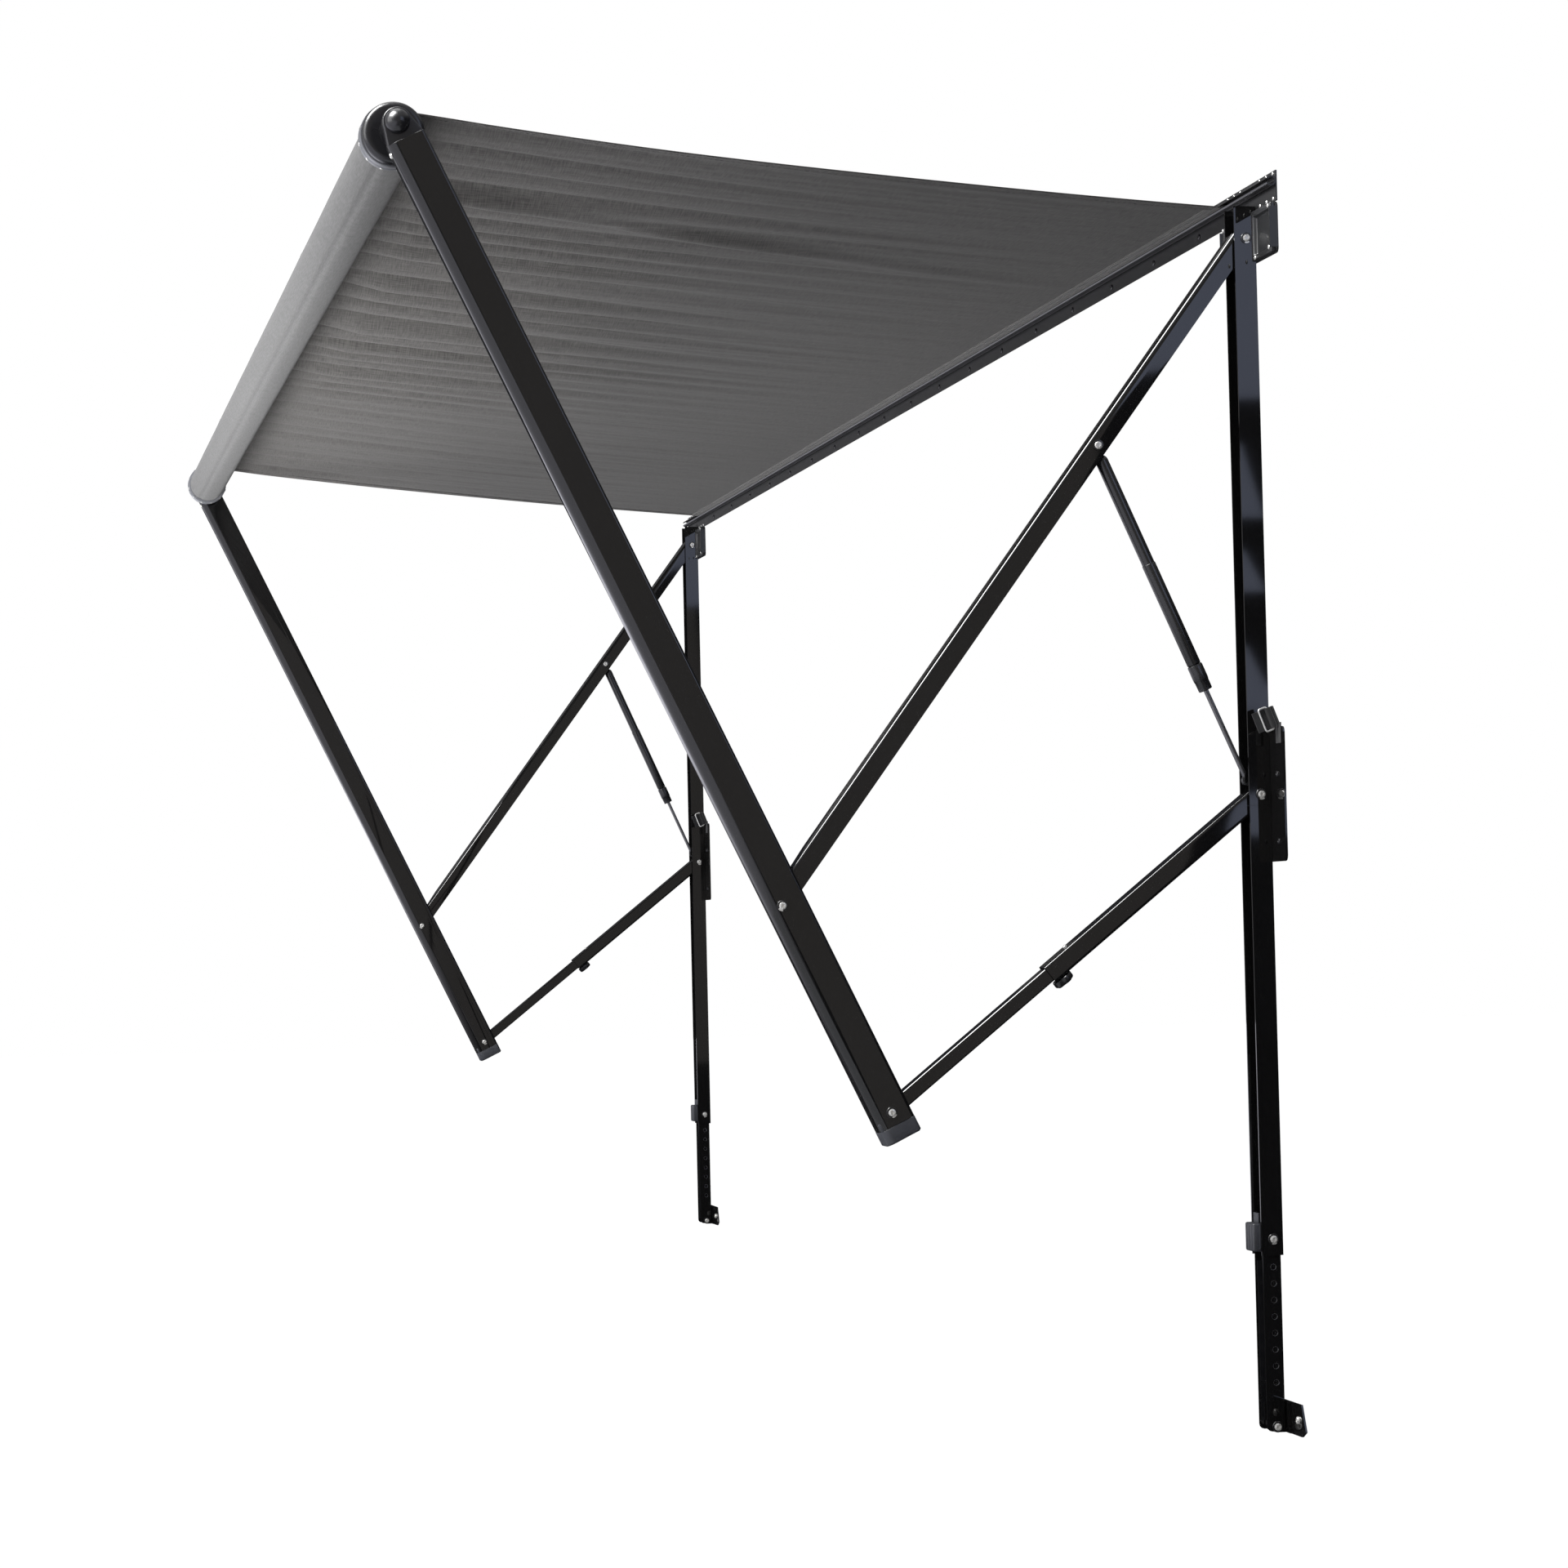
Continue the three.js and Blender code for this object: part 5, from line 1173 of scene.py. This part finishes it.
for side, across in SET_PLACES.items():
    barrel = join([turned(BARREL, 32), along_y(turned(EYE, 28))])
    fit(barrel, "strut", across,
        f"{side}_barrel_dressed", f"{side}_strut", "strut_paint", f"{side}_strut_cylinder")
    fit(turned(SLEEVE, 32), "strut", across,
        f"{side}_sleeve_dressed", f"{side}_strut", "black_plastic", f"{side}_strut_sleeve")

# %% [markdown]
# The tie strap is webbing folded round the inner bar of a wire ring. The ring is a rounded
# rectangle that is turned into a curve and given its wire.

# %% Bend the tie rings and fold the straps
RING_PLACE, STRAP_LEAN, STRAP_ACROSS = Vector((0.0173, 0.0, -0.8169)), 21.0, 0.072
RING_WIRE, RING_HALF, RING_WIDTH, RING_CORNER = 0.0015, 0.0182, 0.0136, 0.0034
STRAP_HALF, STRAP_SKIN, LOOP_BACK, LOOP_REACH, BEND_MIDDLE = 0.016, 0.0019, 0.0102, 0.0246, 0.0030
arm_frames["strap"] = (RING_PLACE, STRAP_LEAN)


def tie_ring(side, across):
    """A rounded rectangle of wire, from a plane whose outline becomes a curve."""
    unpick()
    bpy.ops.mesh.primitive_plane_add(size=1, location=(RING_WIDTH / 2, 0, 0), rotation=(math.radians(90), 0, 0))
    ring = bpy.context.object
    ring.scale = (RING_WIDTH, RING_HALF * 2, 1)
    applied(ring)
    edit_all()
    bpy.ops.mesh.bevel(offset=RING_CORNER, segments=6, affect="VERTICES")
    bpy.ops.mesh.delete(type="ONLY_FACE")
    edit_done()
    bpy.ops.object.convert(target="CURVE")
    ring = bpy.context.object
    ring.data.bevel_depth = RING_WIRE
    ring.data.bevel_resolution = 4
    bpy.ops.object.convert(target="MESH")
    ring = bpy.context.object
    settle(ring, 60)
    fit(ring, "strap", across + STRAP_ACROSS,
        f"{side}_ring_dressed", f"{side}_ring", "bright_steel", f"{side}_tie_ring")


def tie_strap(side, across):
    """The webbing folded round the ring's bar, with the stitches that hold it."""
    turn = arc_points(0, 0, BEND_MIDDLE, 90, -90, 9)
    middle = across + STRAP_ACROSS
    front = ribbon([(-LOOP_BACK, BEND_MIDDLE), (-0.005, BEND_MIDDLE), *turn, (-LOOP_BACK, -BEND_MIDDLE)],
                   STRAP_HALF, STRAP_SKIN)
    tail = ribbon([(0.0, -BEND_MIDDLE), (0.010, -BEND_MIDDLE + 0.0001), (0.018, -BEND_MIDDLE - 0.0002),
                   (LOOP_REACH, -BEND_MIDDLE)], STRAP_HALF, STRAP_SKIN)
    ends = [block((x - 0.0004, BEND_MIDDLE + 0.0006, z - 0.0013),
                  (x + 0.0004, BEND_MIDDLE + 0.0014, z + 0.0013))
            for x in (-0.0085, -0.0045) for z in [k * 0.0036 - 0.0144 for k in range(9)]]
    for part in [front, tail, *ends]:
        seat(part, "strap", middle)
    root = block((0.0034, middle - 0.012, -0.856), (0.0053, middle + 0.012, -0.824), 0.0006)
    own(join([front, tail, root]), f"{side}_strap_dressed", "root", "webbing", f"{side}_webbing_loop")
    own(join(ends), f"{side}_strap_stitches", "root", "seam_thread")


for side, across in SET_PLACES.items():
    tie_ring(side, across)
    tie_strap(side, across)

# %% [markdown]
# What is screwed to the wall shows its screws, and each top bracket is a pressed pan whose border
# stands proud of its floor.

# %% Press the bracket pans
PAN_BACK, PAN_PROUD, PAN_BORDER, PAN_LOW, PAN_HIGH = 0.0031, 0.0085, 0.0085, -0.1028, -0.0248
PAN_NEAR, PAN_FAR = 0.0262, 0.1205
for side, across in SET_PLACES.items():
    pans = []
    for sign in (-1, 1):
        y0, y1 = sorted((sign * PAN_NEAR, sign * PAN_FAR))
        pan = block((PAN_BACK, y0, PAN_LOW), (PAN_BACK + PAN_PROUD, y1, PAN_HIGH))
        bpy.ops.object.mode_set(mode="EDIT")
        bpy.ops.mesh.select_mode(type="FACE")
        pick_faces(pan, lambda middle, normal: normal.x > 0.9)
        bpy.ops.mesh.inset(thickness=PAN_BORDER, depth=0.0)
        extrude((-PAN_PROUD * 0.86, 0, 0))
        bpy.ops.transform.resize(value=(1, 0.95, 0.94),
                                 center_override=(0, (y0 + y1) / 2, (PAN_LOW + PAN_HIGH) / 2))
        edit_done()
        soften(pan, "pressed_edges", 0.0022, 3, 35)
        pans.append(settle(pan))
    # The pans and the top bracket take the lighter grey: painted reflection of the bright studio.
    pan = fit(join(pans), "wall", across, f"{side}_bracket_pans", "root", "pan_painted_reflection")
    finish_node(f"{side}_top_bracket", finishes["pan_painted_reflection"])
    pan.visible_glossy = nodes[f"{side}_top_bracket"].visible_glossy = False

# %% Drive the screws
PLATE_FACE, RAIL_FACE, RAIL_SCREWS, RAIL_PITCH = 0.0030, 0.0024, 20, 0.254
for side, across in SET_PLACES.items():
    wall_screws, plate_screws, foot_screws = [], [], []
    for sign in (-1, 1):
        for y, z in ((0.112, -0.030), (0.112, -0.094), (0.045, -0.099)):
            wall_screws.append(screw((0.0116, sign * y, z), 0.0034, 0.0018))
        for y, z in ((0.0565, -0.9028), (0.0565, -1.0068)):
            plate_screws.append(screw((PLATE_FACE, sign * y, z), 0.0052, 0.0022))
        foot_screws.append(screw((PLATE_FACE, sign * 0.075, -1.8945), 0.0062, 0.0040))
        for y in (0.048, 0.080, 0.112):
            for z in (0.0192, -0.0190):
                wall_screws.append(screw((RAIL_FACE, sign * y, z), 0.0030, 0.0016))
    for label, heads, body, material in (("wall_screws", wall_screws, "root", "bright_steel"),
                                         ("plate_screws", plate_screws, "root", "black_plastic"),
                                         ("foot_screws", foot_screws, f"{side}_leg", "bright_steel")):
        fit(join(heads), "wall", across, f"{side}_{label}", body, material)

rail_places = [(i - (RAIL_SCREWS - 1) / 2) * RAIL_PITCH for i in range(RAIL_SCREWS)]
rail_row = join([screw((RAIL_FACE, y, -0.0125), 0.0046, 0.0022) for y in rail_places])
own(rail_row, "rail_screw_row", "root", "black_plastic")
